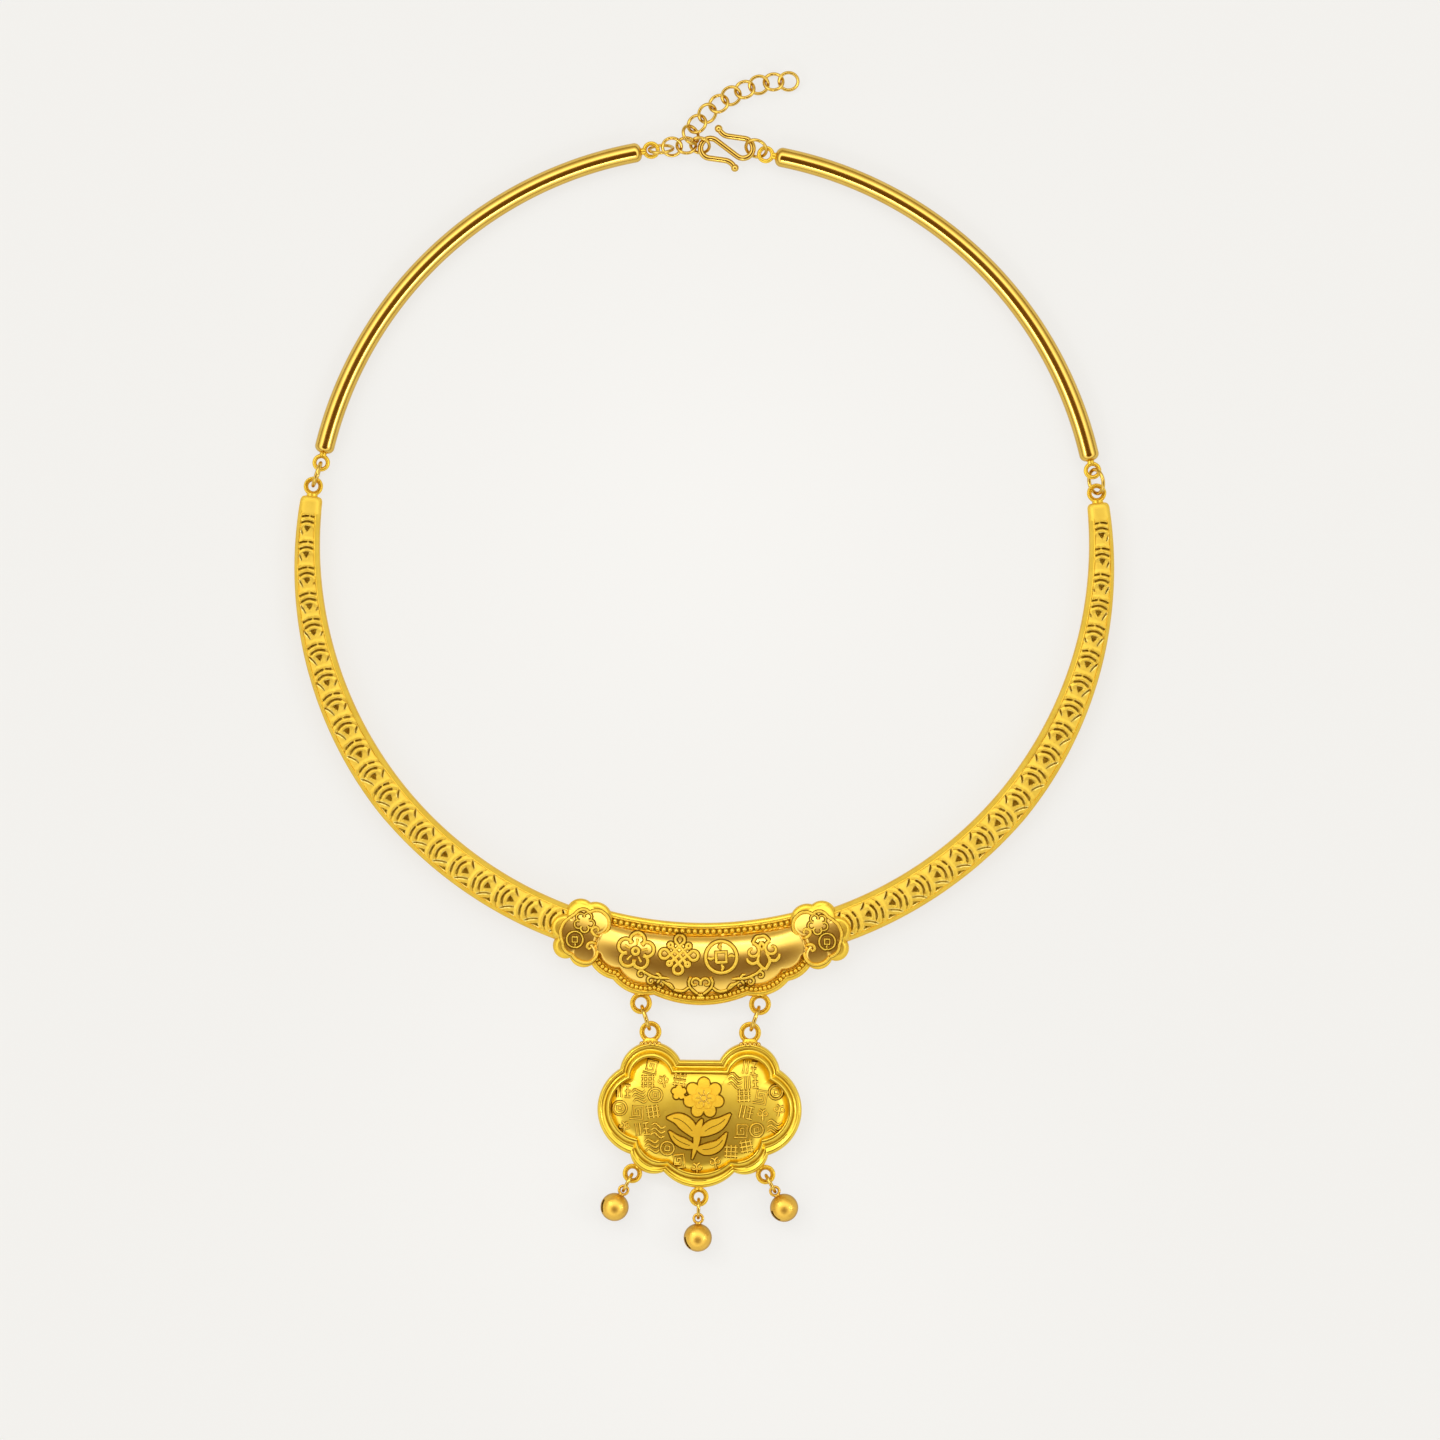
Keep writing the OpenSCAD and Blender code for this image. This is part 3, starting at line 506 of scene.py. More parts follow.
def scale_ridges(x, y):
    """The swell between the slots of each scale, over the scale itself and the one behind it."""
    a = x / degree_mm
    first_apex = 20.05
    apex = first_apex + scale_step * np.floor((a - first_apex + 0.2) / scale_step)
    swell = np.zeros(len(a))
    for back in (0, scale_step):
        across, up = (a - apex + back) * degree_mm / scale_size(a), (y + 0.1) / scale_size(a)
        r, turn = np.hypot(across, up), np.degrees(np.abs(np.arctan2(up, across)))
        band = np.clip((4.0 - r) / 0.3, 0, 1) * np.clip((r - 0.9) / 0.3, 0, 1)
        band = np.clip((70 - turn) / 12, 0, 1) * band
        swell = np.maximum(swell, band * (0.08 + 0.08 * np.cos(2 * np.pi * (r - 2.62) / 1.05)))
    return swell


def grid_points(low, high, step, shift=0):
    xs, ys = np.meshgrid(np.arange(low[0], high[0], step), np.arange(low[1], high[1], step))
    xs = xs + np.where(np.rint(ys / step) % 2 == 0, shift, 0)
    return np.stack([xs.ravel(), ys.ravel()], -1)


def from_faces(name, points, faces):
    mesh = bpy.data.meshes.new(name)
    mesh.from_pydata(points.tolist(), [], faces.tolist())
    return alone(put_in_scene(name, mesh))


def pierced_strip():
    ends = np.arange(arm_root_a + 0.3, arm_sleeve_a + 0.2, 0.3)
    upper = np.stack([ends * degree_mm, arm_half(ends) - 0.9], -1)
    lower = np.stack([ends * degree_mm, 0.66 - arm_half(ends)], -1)
    outline = np.concatenate([lower, upper[::-1]])
    filling = grid_points((ends[0] * degree_mm, -3), (ends[-1] * degree_mm, 3), 0.25, 0.12)
    half = arm_half(filling[:, 0] / degree_mm)
    fits = (filling[:, 1] < half - 1.0) & (filling[:, 1] > 0.76 - half)
    flat, faces, kinds = sheet_with_openings(outline, arm_openings(), filling[fits])
    x, y = flat.T
    a = x / degree_mm
    z = crown(y, a) - 0.1 + scale_ridges(x, y) - 0.1 * (kinds == 2)
    piece = from_faces("pierced strip", along_neck(a, y, z, arm_half(a)), faces)
    mesh = piece.data
    bpy.ops.object.mode_set(mode="EDIT")
    bpy.ops.mesh.select_all(action="SELECT")
    bpy.ops.mesh.normals_make_consistent(inside=False)
    bpy.ops.object.mode_set(mode="OBJECT")
    if np.mean([face.normal.z for face in mesh.polygons]) < 0:
        mesh.flip_normals()
    corners = [kinds[list(face.vertices)] for face in mesh.polygons]
    # Chamfer faces, and through the wall's rim offset the cut walls, take the paler gold of the painted glint
    zoned(piece, [matt_gold, cut_glint_gold], [kind.max() == 2 and kind.min() > 0 for kind in corners])
    sheet_wall = piece.modifiers.new("wall", "SOLIDIFY")
    sheet_wall.thickness = 0.42 * mm
    sheet_wall.offset = -1
    sheet_wall.material_offset_rim = 1
    bpy.ops.object.modifier_apply(modifier="wall")
    smooth(30)
    return piece


arm_strip = pierced_strip()

# The arcs of the slots run on to the strip's edges as half-sunk lines of darker gold, painted shade in chased
# grooves
groove_lines = []
groove_from, groove_to = arm_root_a * degree_mm + 0.5, arm_sleeve_a * degree_mm - 0.3
for a in scale_places:
    for r, start, end in ((2.1, 40, 62), (2.1, -40, -58), (3.15, 29, 46), (3.15, -33, -46)):
        turn, reach = np.radians(np.linspace(start, end, 9)), scale_size(a) * r
        line = np.stack([a * degree_mm + reach * np.cos(turn), reach * np.sin(turn) - 0.1], -1)
        line = line[(line[:, 1] < arm_half(a) - 1.1) & (line[:, 1] > 0.85 - arm_half(a))]
        if len(line) > 3 and line[:, 0].min() > groove_from and line[:, 0].max() < groove_to:
            groove_lines.append(line)
arm_groove_shadows = raised_lines("arm groove shadows", groove_lines, 0.13, lambda x, y: crown(y, x / degree_mm) - 0.1,
                           groove_shade_gold, 0, 1)
x, y, z = points_of(arm_groove_shadows).T / mm
arm_groove_shadows.data.vertices.foreach_set("co", along_neck(x / degree_mm, y, z, arm_half(x / degree_mm)).ravel())


def settled(name, angle=None):
    """Names the new piece, puts its place and turn into its mesh and shades it smooth."""
    bpy.ops.object.transform_apply()
    if angle is None:
        bpy.ops.object.shade_smooth()
    else:
        smooth(angle)
    return selected(name)


def short_neck(p, q, thick, finish):
    p, q = Vector(p) * mm, Vector(q) * mm
    bpy.ops.mesh.primitive_cylinder_add(vertices=32, radius=thick / 2 * mm, depth=(q - p).length,
                                        location=(p + q) / 2,
                                        rotation=(q - p).to_track_quat("Z", "Y").to_euler())
    return painted(settled("neck", 40), finish)


# Eyes are cast rings with a groove round their face, soldered on with short round necks; the groove is a thin
# ring of darker gold, painted shade
EYE_BANDS = [(0.3, 0.3, 20, 1.5, satin_gold), (0.8, 0.17, 14, 2.2, satin_gold),
             (0.62, 0.24, 12, 1, groove_shade_gold)]


def cast_eye(place, neck_to, neck_d, outer, wire):
    place, neck_to = Vector(place), Vector(neck_to)
    bands = []
    for inset, thick, sides, tall, finish in EYE_BANDS:
        bpy.ops.mesh.primitive_torus_add(location=place * mm, major_segments=56, minor_segments=sides,
                                         major_radius=(outer / 2 - inset * wire) * mm,
                                         minor_radius=thick * wire * mm)
        bpy.context.object.scale = (1, 1, tall)
        bands.append(painted(bpy.context.object, finish))
    start = place + (neck_to - place).normalized() * (outer - wire) / 2
    joined("eye", [*bands, short_neck(start, neck_to, neck_d, satin_gold)])
    return settled("eye", 40)


arm_eye_r = neck_r + 1.85
arm_eye_a = arm_end_a + math.degrees(1.65 / arm_eye_r)
arm_eye = cast_eye(round_neck(arm_eye_r, arm_eye_a, 1.65), round_neck(arm_eye_r, arm_end_a - 0.6, 1.65),
                   1.9, 3.3, 0.84)
arm_right = joined("arm_right", [arm_walls, arm_sleeve, arm_strip, arm_groove_shadows, arm_eye])


def mirrored(piece, name):
    alone(piece)
    bpy.ops.object.duplicate()
    other = selected(name)
    other.scale = (-1, 1, 1)
    bpy.ops.object.transform_apply()
    if sum(face.normal.z * face.area for face in other.data.polygons if face.center.z > 2.5 * mm) < 0:
        other.data.flip_normals()
    return other


def turned(piece):
    alone(piece).rotation_euler = (0, 0, front_turn)
    bpy.ops.object.transform_apply()


arm_left = mirrored(arm_right, "arm_left")
for piece in (arm_left, arm_right):
    turned(piece)
    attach(piece, "root")

# The plaque: a lobed plate formed from sheet, its border with two rows of soldered beads round
# a polished domed field, which carries chased ornament.
plaque_top_r = neck_r - 1.1
PLAQUE_LOBES = np.array([[0, 58.45, 19.7], [9.3, 69.4, 7.2], [-9.3, 69.4, 7.2],
                         [13.9, 68.5, 5.5], [-13.9, 68.5, 5.5]])
PLAQUE_ROWS = 176
border_h, plaque_dome_h = 3.0, 1.9
field_gold = gold("burnished gold", (1.0, 0.7, 0.16), (0.85, 0.54, 0.05), 0.25, 6000, 0.16, 0.26, 0.5)
# A near-black gold for thin lines that stand for shadows round raised work and shade in chased lines
shadow_line_gold = gold("painted shadow line", (0.24, 0.12, 0.006), (0.18, 0.09, 0.005), 0.3, 5000, 0.3, 0.4)
# A darker gold on the floor of the channel the beads sit in: painted shade between the beads
channel_shade_gold = gold("painted channel shade", (0.5, 0.29, 0.02), (0.36, 0.2, 0.01), 0.3, 5000, 0.3, 0.36)


def lobe_depth(x, y, lobes):
    return np.max([lobe[2] - np.hypot(x - lobe[0], y - lobe[1]) for lobe in lobes], 0)


def lobe_reach(turn, lobes):
    """How far the lobes reach from the origin in a direction."""
    reach = []
    for x, y, r in lobes:
        mid = x * np.cos(turn) + y * np.sin(turn)
        off = x * np.sin(turn) - y * np.cos(turn)
        reach.append(np.where(np.abs(off) < r, mid + np.sqrt(np.maximum(r * r - off * off, 0)), 0))
    return np.max(reach, 0)


def end_pocket(x, y):
    """Depth inside the round end of the field that each cartouche covers."""
    return 3.3 - np.hypot(np.abs(x) - 16.5, y + 66.5)


def plaque_z(x, y):
    top = np.hypot(x, y) - plaque_top_r
    low = lobe_depth(x, -y, PLAQUE_LOBES)
    roll = 0.7
    edge = np.minimum(np.minimum(top, low), roll)
    z = border_h - roll + roll * np.sqrt(np.clip(1 - (1 - edge / roll) ** 2, 0, 1))
    for depth, fine_lines in ((top, (0.9, 2.0)), (low, (0.78, 1.74))):
        for line in fine_lines:
            z = z + 0.12 * np.exp(-((depth - line) / 0.08) ** 2)
    z = z - 0.06 * np.clip((np.minimum(top, low) - roll) / 0.15, 0, 1)
    a = np.degrees(np.arctan2(x, -y))
    in_top, in_low = top - 2.15, np.maximum(low - 1.9, end_pocket(x, y))
    t = np.clip(in_top / (10.1 - 2.1 * (a / 14) ** 2), 0, 1) ** 0.82
    inner = np.clip(np.minimum(in_top, in_low) / 0.12, 0, 1)
    shoulder = 1 - (1 - np.clip(in_low / 0.5, 0, 1)) ** 2
    ends = 1 - 0.45 * np.clip((np.abs(a) - 9) / 6, 0, 1) ** 2
    return z + inner * (0.12 + plaque_dome_h * ends * shoulder * (4 * t * (1 - t)) ** 0.95)


# Rows run once round the plate: over its face, round the lower edge, back under and up. Each row
# of the back has its end (1 is the lower one), how far beyond that it lies, and its height.
PLAQUE_BACK = [(1, 0.0, 1.9), (1, 0.0, 0.5), (1, -0.5, 0.0), (0, 0.5, 0.0), (0, 0.0, 0.5), (0, 0.0, 2.0),
               (0, 0.0, 2.3)]


def plaque(u, v):
    a = -17.4 + 34.8 * u
    low_r = lobe_reach(np.pi / 2 - np.radians(a), PLAQUE_LOBES)
    index = np.rint(v * PLAQUE_ROWS).astype(int)
    face_rows = PLAQUE_ROWS - len(PLAQUE_BACK)
    share = np.clip(index / face_rows, 0, 1)
    share = share - 0.12 * np.sin(2 * np.pi * share) / (2 * np.pi)
    r = plaque_top_r + (low_r - plaque_top_r) * share
    turn = np.radians(a)
    z = plaque_z(r * np.sin(turn), -r * np.cos(turn))
    for k, (end, beyond, height) in enumerate(PLAQUE_BACK):
        here = index == face_rows + 1 + k
        r = np.where(here, (low_r if end else plaque_top_r) + beyond, r)
        z = np.where(here, height, z)
    return round_neck(r, a, z) * mm


def face_middles(piece):
    return np.array([tuple(face.center) for face in piece.data.polygons]).T / mm


plaque_plate = painted(moulded("plaque plate", 340, PLAQUE_ROWS, plaque, 40), satin_gold)
x, y, z = face_middles(plaque_plate)
from_top, from_low = np.hypot(x, y) - plaque_top_r, lobe_depth(x, -y, PLAQUE_LOBES)
# Faces in the bead rows' channel get the painted shade; faces in the field get the burnished gold
shaded_bead_channel = (from_top > 1.0) & (from_top < 1.9) | (from_low > 0.86) & (from_low < 1.66)
in_field = (from_top > 2.1) & ((from_low > 1.85) | (end_pocket(x, y) > 0))
zoned(plaque_plate, [field_gold, channel_shade_gold], np.where(in_field, 1, np.where(shaded_bead_channel, 2, 0)) * (z > 2.5))


def spiral(middle, r0, r1, a0, a1, thin=1.0, n=28):
    t = np.linspace(0, 1, n)
    turn = np.radians(a0 + (a1 - a0) * t)
    r = r0 + (r1 - r0) * t
    return np.stack([middle[0] + r * np.cos(turn), middle[1] + r * np.sin(turn), 1 + (thin - 1) * t], -1)


def round_line(x, y, r, a0=0, a1=360, n=28):
    return spiral((x, y), r, r, a0, a1, 1.0, n)


def sweep(points, n=10):
    """A smooth line through a few points."""
    p = with_width(points)
    p = np.concatenate([[2 * p[0] - p[1]], p, [2 * p[-1] - p[-2]]])
    out = []
    for a, b, c, d in zip(p, p[1:], p[2:], p[3:]):
        for t in np.linspace(0, 1, n, endpoint=False):
            square, cube = 2 * a - 5 * b + 4 * c - d, 3 * b - a - 3 * c + d
            out.append(0.5 * (2 * b + (c - a) * t + square * t ** 2 + cube * t ** 3))
    return np.array([*out, p[-2]])


def flipped(lines):
    return [line * [-1, 1, 1] for line in lines]


def wired(name, lines, surface, wire, lift, foot, sink, rounds=(2, 2)):
    """A raised wire over a wider wire sunk below it in a dark colour, whose edges show as a painted shadow
    round the raised one.
    """
    return joined(name, [raised_lines(name, lines, wire, surface, matt_gold, lift, rounds[0]),
                         raised_lines("foot", lines, foot, surface, shadow_line_gold, -sink, rounds[1])])


# The scrolling vine under the plaque's middle, with a heart of two curls
vine = [
    spiral((-0.93, -74.3), 1.0, 0.3, -20, 310, 0.7),
    sweep([(0.02, -76.5), (-0.9, -75.9), (-1.75, -75.1), (-2.0, -74.2), (-1.7, -73.4)]),
    sweep([(-1.9, -75.0, 0.8), (-3.0, -75.7), (-4.4, -75.5), (-5.6, -74.6), (-6.5, -74.0, 0.7)]),
    sweep([(-4.6, -75.4), (-5.2, -74.6), (-5.9, -74.4, 0.6)]),
    spiral((-6.7, -74.6), 0.75, 0.25, 100, 400, 0.7),
    sweep([(-5.3, -73.6, 0.5), (-6.3, -73.5), (-7.7, -73.4), (-8.9, -72.9), (-9.8, -72.3, 0.6)]),
    spiral((-8.4, -74.0), 0.75, 0.25, 80, 380, 0.7), spiral((-10.1, -72.9), 0.65, 0.25, 60, 340, 0.7),
    sweep([(-9.4, -72.7), (-10.4, -71.8), (-11.3, -71.7, 0.5)]),
    sweep([(-6.6, -73.6), (-7.1, -72.9), (-7.6, -72.8, 0.5)])
]
vine += flipped(vine)
plaque_vine = wired("plaque vine", vine, plaque_z, 0.46, 0.16, 0.86, 0.1)


def polar(r, a, x=0, y=0):
    return x + r * math.cos(math.radians(a)), y + r * math.sin(math.radians(a))


def set_down(lines, x, y, turn, size):
    c, s = polar(1, turn)
    out = []
    for line in map(with_width, lines):
        out.append(np.stack([x + size * (line[:, 0] * c - line[:, 1] * s),
                             y + size * (line[:, 0] * s + line[:, 1] * c), line[:, 2]], -1))
    return out


# Four emblems in heavy wire along the field: a blossom, a knot, a coin and a cloud
fifths, quarters = range(90, 450, 72), range(0, 360, 90)
petals = [round_line(*polar(1.75, t), 1.12, t - 128, t + 128) for t in fifths]
stamens = [[(*polar(0.95, t), 0.5), (*polar(1.9, t), 0.75)] for t in fifths]
blossom = petals + stamens + [round_line(0, 0, 0.5)]
knot = [[(-2.0, q), (2.0, q)] for q in (-1, 0, 1)] + [[(q, -2.0), (q, 2.0)] for q in (-1, 0, 1)]
knot += [round_line(1.75 * sx, 1.75 * sy, 0.78, mid - 135, mid + 135)
         for sx, sy, mid in ((1, 1, 45), (-1, 1, 135), (-1, -1, 225), (1, -1, 315))]
knot += [round_line(*polar(2.15, t), 0.36) for t in quarters]


def square_line(half):
    return [(-half, -half), (half, -half), (half, half), (-half, half), (-half, -half)]


coin = [round_line(0, 0, 2.45, n=40), square_line(0.8)]
coin += [sweep([(1.1 * c, 1.1 * s, 0.5), (1.6 * c - 0.2 * s, 1.6 * s + 0.2 * c), (2.1 * c, 2.1 * s, 0.6)])
         for c, s in ((1, 0), (0, 1), (-1, 0), (0, -1))]
cloud_half = [
    spiral((1.5, 0.35), 1.2, 0.3, 100, 460, 0.7),
    sweep([(0.0, 2.4), (0.7, 2.3), (1.3, 1.55)]), sweep([(0.5, -0.1, 0.6), (0.9, -1.4), (0.1, -2.6)]),
    sweep([(0.9, -1.3), (1.7, -1.5), (2.3, -1.1), (2.5, -0.6, 0.6)]),
    sweep([(0.0, 1.5), (0.35, 0.9), (0.0, 0.3, 0.6)])
]
cloud = cloud_half + flipped(cloud_half)
emblems = []
for lines, x, y, size, turn in ((blossom, -11.05, -69.0, 1.08, 0), (knot, -3.7, -69.55, 1.0, 45),
                                (coin, 3.45, -69.9, 1.08, 0), (cloud, 10.45, -69.0, 1.12, 0)):
    emblems += set_down(lines, x, y, turn + math.degrees(math.atan2(x, -y)), size)
plaque_emblems = wired("plaque emblems", emblems, plaque_z, 0.6, 0.1, 0.96, 0.18, (3, 2))

# The beads: one ball, set down along both rows
bpy.ops.mesh.primitive_ico_sphere_add(subdivisions=2, radius=0.44 * mm)
bead = painted(settled("bead"), satin_gold)
bead_z = border_h - 0.02


def beads(name, places, size):
    pieces = []
    for place in places:
        mesh = bead.data.copy()
        mesh.transform(Matrix.Translation(Vector(place) * mm) @ Matrix.Scale(size, 4))
        pieces.append(put_in_scene("bead", mesh))
    return joined(name, pieces)


top_bead_r = plaque_top_r + 1.45
top_bead_step = math.degrees(1.055 / top_bead_r)
top_row = [round_neck(top_bead_r, k * top_bead_step, bead_z) for k in range(-14, 15)]
low_bead_a, low_bead_step = np.arange(0, 16.3, 0.01), 0.77
low_bead_r = lobe_reach(np.pi / 2 - np.radians(low_bead_a), PLAQUE_LOBES - [0, 0, 1.27])
low_line = round_neck(low_bead_r, low_bead_a, np.full(len(low_bead_a), bead_z))
travel = np.cumsum([0, *np.linalg.norm(np.diff(low_line, axis=0), axis=1)])
low_half = low_line[np.searchsorted(travel, np.arange(low_bead_step / 2, travel[-1], low_bead_step))]
low_row = [place * [side, 1, 1] for place in low_half for side in (-1, 1)] + [low_line[0]]
plaque_beads = joined("plaque beads", [beads("upper beads", top_row, 1), beads("lower beads", low_row, 0.86)])

# The end cartouches: small lobed shields of sheet soldered over the joints of arm and plaque,
# each with a raised wire round a burnished field.
CARTOUCHE_LOBES = np.array([[-1.75, -2.9, 2.95], [-1.65, 3.05, 2.5], [0.9, -3.1, 2.5],
                            [1.6, 2.85, 2.2], [2.75, -0.1, 2.5], [0, 0, 3.4]])
cartouche_a, cartouche_r = math.radians(17.3), neck_r + 3.8


def from_shield(x, y, z):
    c, s = math.cos(cartouche_a), math.sin(cartouche_a)
    return np.stack([cartouche_r * s + x * c + y * s, -cartouche_r * c + x * s - y * c, z], -1) * mm


# The raised wire runs in six bays from one curl to the other, open towards the plaque
WIRE_BAYS = [
    [(-2.8, -1.1, 0.7), (-2.85, -1.5, 0.8), (-2.4, -1.75), (-1.95, -1.5), (-1.8, -1.05), (-2.1, -0.65),
     (-2.6, -0.4), (-3.25, -0.45), (-4.0, -1.15), (-4.4, -2.5), (-3.85, -3.8), (-2.5, -4.55),
     (-1.25, -4.35), (-0.5, -3.75)],
    [(-0.5, -3.75), (0.1, -4.0), (0.9, -3.85), (1.45, -3.35), (1.75, -2.75)],
    [(1.75, -2.75), (2.45, -1.85), (3.0, -1.0), (3.2, -0.1)],
    [(3.2, -0.1), (3.2, 0.7), (2.95, 1.35), (2.6, 2.0), (2.2, 2.5)],
    [(2.2, 2.5), (1.95, 3.15), (1.4, 3.65), (0.75, 3.9), (0.1, 3.95)],
    [(0.1, 3.95), (-0.75, 4.5), (-2.1, 4.65), (-3.25, 4.15), (-3.85, 3.1), (-3.8, 2.1), (-3.55, 1.4),
     (-3.1, 0.95), (-2.5, 0.9), (-1.95, 1.3), (-1.9, 1.85), (-2.35, 2.1, 0.8), (-2.6, 1.75, 0.7)]
]
wire_lines = [sweep(bay, 8) for bay in WIRE_BAYS]
SHIELD_FIELD = np.concatenate([wire_lines[0][60:], *wire_lines[1:5], wire_lines[5][:52]])[:, :2]


def shield_z(x, y):
    edge = np.clip(lobe_depth(x, y, CARTOUCHE_LOBES), 0, 1)
    roll = 0.95 * np.clip(1 - (y / 4.7) ** 2, 0, 1)
    return 3.1 + (0.65 + roll) * np.sqrt(1 - (1 - edge) ** 2)


def shield(u, v):
    turn = u * 2 * np.pi
    reach = lobe_reach(turn, CARTOUCHE_LOBES)
    r = reach * np.clip(v / 0.94, 0, 1) * 0.9995
    z = shield_z(r * np.cos(turn), r * np.sin(turn))
    for at, beyond, height in ((0.955, 0.0, 2.6), (0.97, 0.0, 0.6), (0.985, -0.5, 0.1)):
        here = np.abs(v - at) < 0.006
        r, z = np.where(here, reach + beyond, r), np.where(here, height, z)
    back = v > 0.995
    r, z = np.where(back, 0, r), np.where(back, 0.1, z)
    return from_shield(r * np.cos(turn), r * np.sin(turn), z)


cartouche_plate = painted(moulded("cartouche plate", 300, 66, shield, 45), satin_gold)
c, s = math.cos(cartouche_a), math.sin(cartouche_a)
x, y, z = face_middles(cartouche_plate)
x, y = x - cartouche_r * s, y + cartouche_r * c
in_shield = inside(np.stack([x * c + y * s, x * s - y * c], -1), SHIELD_FIELD) & (z > 3)
zoned(cartouche_plate, [field_gold], in_shield)


def on_shield(piece):
    piece.data.vertices.foreach_set("co", from_shield(*points_of(piece).T / mm).ravel())
    piece.data.flip_normals()
    return piece


small_signs = set_down(petals, -0.2, -1.95, 20, 0.6) + set_down(coin[:2] + coin[3:4], 0.45, 1.35, 17, 0.56)
cartouche_right = joined("cartouche_right", [
    cartouche_plate, on_shield(wired("cartouche wire", wire_lines, shield_z, 0.52, 0.16, 0.72, 0.12)),
    on_shield(wired("cartouche signs", small_signs, shield_z, 0.32, 0.08, 0.7, 0.12))])
cartouche_left = mirrored(cartouche_right, "cartouche_left")

# The two eyes under the plaque, and the plaque put together
plaque_eye_x, plaque_eye_y = 10.1, -(58.45 + 19.7 - 0.25)
large_eye = (3.75, 0.92)
plaque_eyes = [cast_eye((x, plaque_eye_y, 2), (x, plaque_eye_y + 2.9, 2), 1.7, *large_eye)
               for x in (-plaque_eye_x, plaque_eye_x)]
plaque_piece = joined("plaque", [plaque_plate, plaque_vine, plaque_emblems, plaque_beads, *plaque_eyes])
for piece in (plaque_piece, cartouche_right, cartouche_left):
    turned(piece)
    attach(piece, "root")
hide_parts("front_collar")
bpy.data.objects.remove(bead)

# The lock: two lobed shells of sheet soldered at the edge, with a hollow moulding and a raised
# rim round a domed burnished field, and a stippled spray of blossom chased over small emblems.
lock_y = -95.96
LOCK_LOBES = np.array([[8.2, 6.05, 5.45], [9.3, 0.1, 8.05], [7.7, -6.8, 4.1], [0, -5.1, 8.1]])
FIELD_LOBES = np.array([[8.3, 5.45, 3.42], [9.83, 0.4, 5.2], [6.1, -4.1, 4.45], [0, -2.84, 7.7]])
lock_middle = np.array([0, -1.6])
LOCK_ROWS = 104


def outer_meeting(a, b):
    """Where two lobes' circles cross, on the side away from the lock's middle."""
    run = b[:2] - a[:2]
    far = np.linalg.norm(run)
    along = (a[2] ** 2 - b[2] ** 2 + far ** 2) / (2 * far)
    off = math.sqrt(a[2] ** 2 - along ** 2)
    foot, side = a[:2] + run / far * along, np.array([-run[1], run[0]]) / far
    return max((foot + side * off, foot - side * off), key=lambda p: np.linalg.norm(p - lock_middle))


def lobed_outline(lobes, notch_y, counts):
    """Points round the right half and the left half, from the middle of the notch."""
    ear, side, lower, bottom = lobes
    corner = np.array([ear[0] - math.sqrt(ear[2] ** 2 - (notch_y - ear[1]) ** 2), notch_y])
    turns = [corner, outer_meeting(ear, side), outer_meeting(side, lower), outer_meeting(lower, bottom),
             np.array([0, bottom[1] - bottom[2]])]
    line = [np.array([corner[0] * t, notch_y]) for t in np.linspace(0, 1, counts[0], endpoint=False)]
    for lobe, start, end, count in zip((ear, side, lower, bottom), turns, turns[1:], counts[1:]):
        a0, a1 = (math.atan2(*(p - lobe[:2])[::-1]) for p in (start, end))
        a1 = a1 if a1 < a0 else a1 - 2 * math.pi
        line += [lobe[:2] + lobe[2] * np.array([math.cos(t), math.sin(t)])
                 for t in np.linspace(a0, a1, count, endpoint=False)]
    line = np.array([*line, turns[-1]])
    return np.concatenate([line, line[-2::-1] * [-1, 1]])


LOCK_COUNTS = (26, 90, 100, 48, 56)
LOCK_OUTLINE = lobed_outline(LOCK_LOBES, 8.5, LOCK_COUNTS)
FIELD_OUTLINE = lobed_outline(FIELD_LOBES, 6.17, LOCK_COUNTS)


def lock_field_z(x, y):
    depth = lobe_depth(np.abs(x), y, FIELD_LOBES)
    depth = np.where((np.abs(x) < 8.3) & (y > 0), np.maximum(depth, 6.17 - y), depth)
    dome = 1 - np.clip((x / 16.2) ** 2 + ((y + 1) / 11.5) ** 2, 0, 1.1)
    return 2.9 + 1.95 * dome - 0.4 * (1 - np.clip(depth / 1.6, 0, 1)) ** 2


# Rows run out under the lock's back (inset, height), over its rim (share of the way from the
# outline to the field's, height) and over the field to the middle
LOCK_BACK = [(1.4, 0.0), (0.5, 0.0), (0.1, 0.25), (0.0, 0.7)]
LOCK_PROFILE = [
    (0.0, 1.9), (0.005, 2.3), (0.02, 2.58), (0.05, 2.84), (0.1, 3.04), (0.16, 3.16), (0.21, 3.18),
    (0.27, 3.13), (0.33, 3.03), (0.39, 2.93), (0.45, 2.89), (0.51, 2.95), (0.57, 3.12), (0.63, 3.34),
    (0.69, 3.55), (0.75, 3.71), (0.81, 3.8), (0.87, 3.83), (0.92, 3.82), (0.955, 3.75), (0.98, 3.64),
    (0.992, 3.5)
]


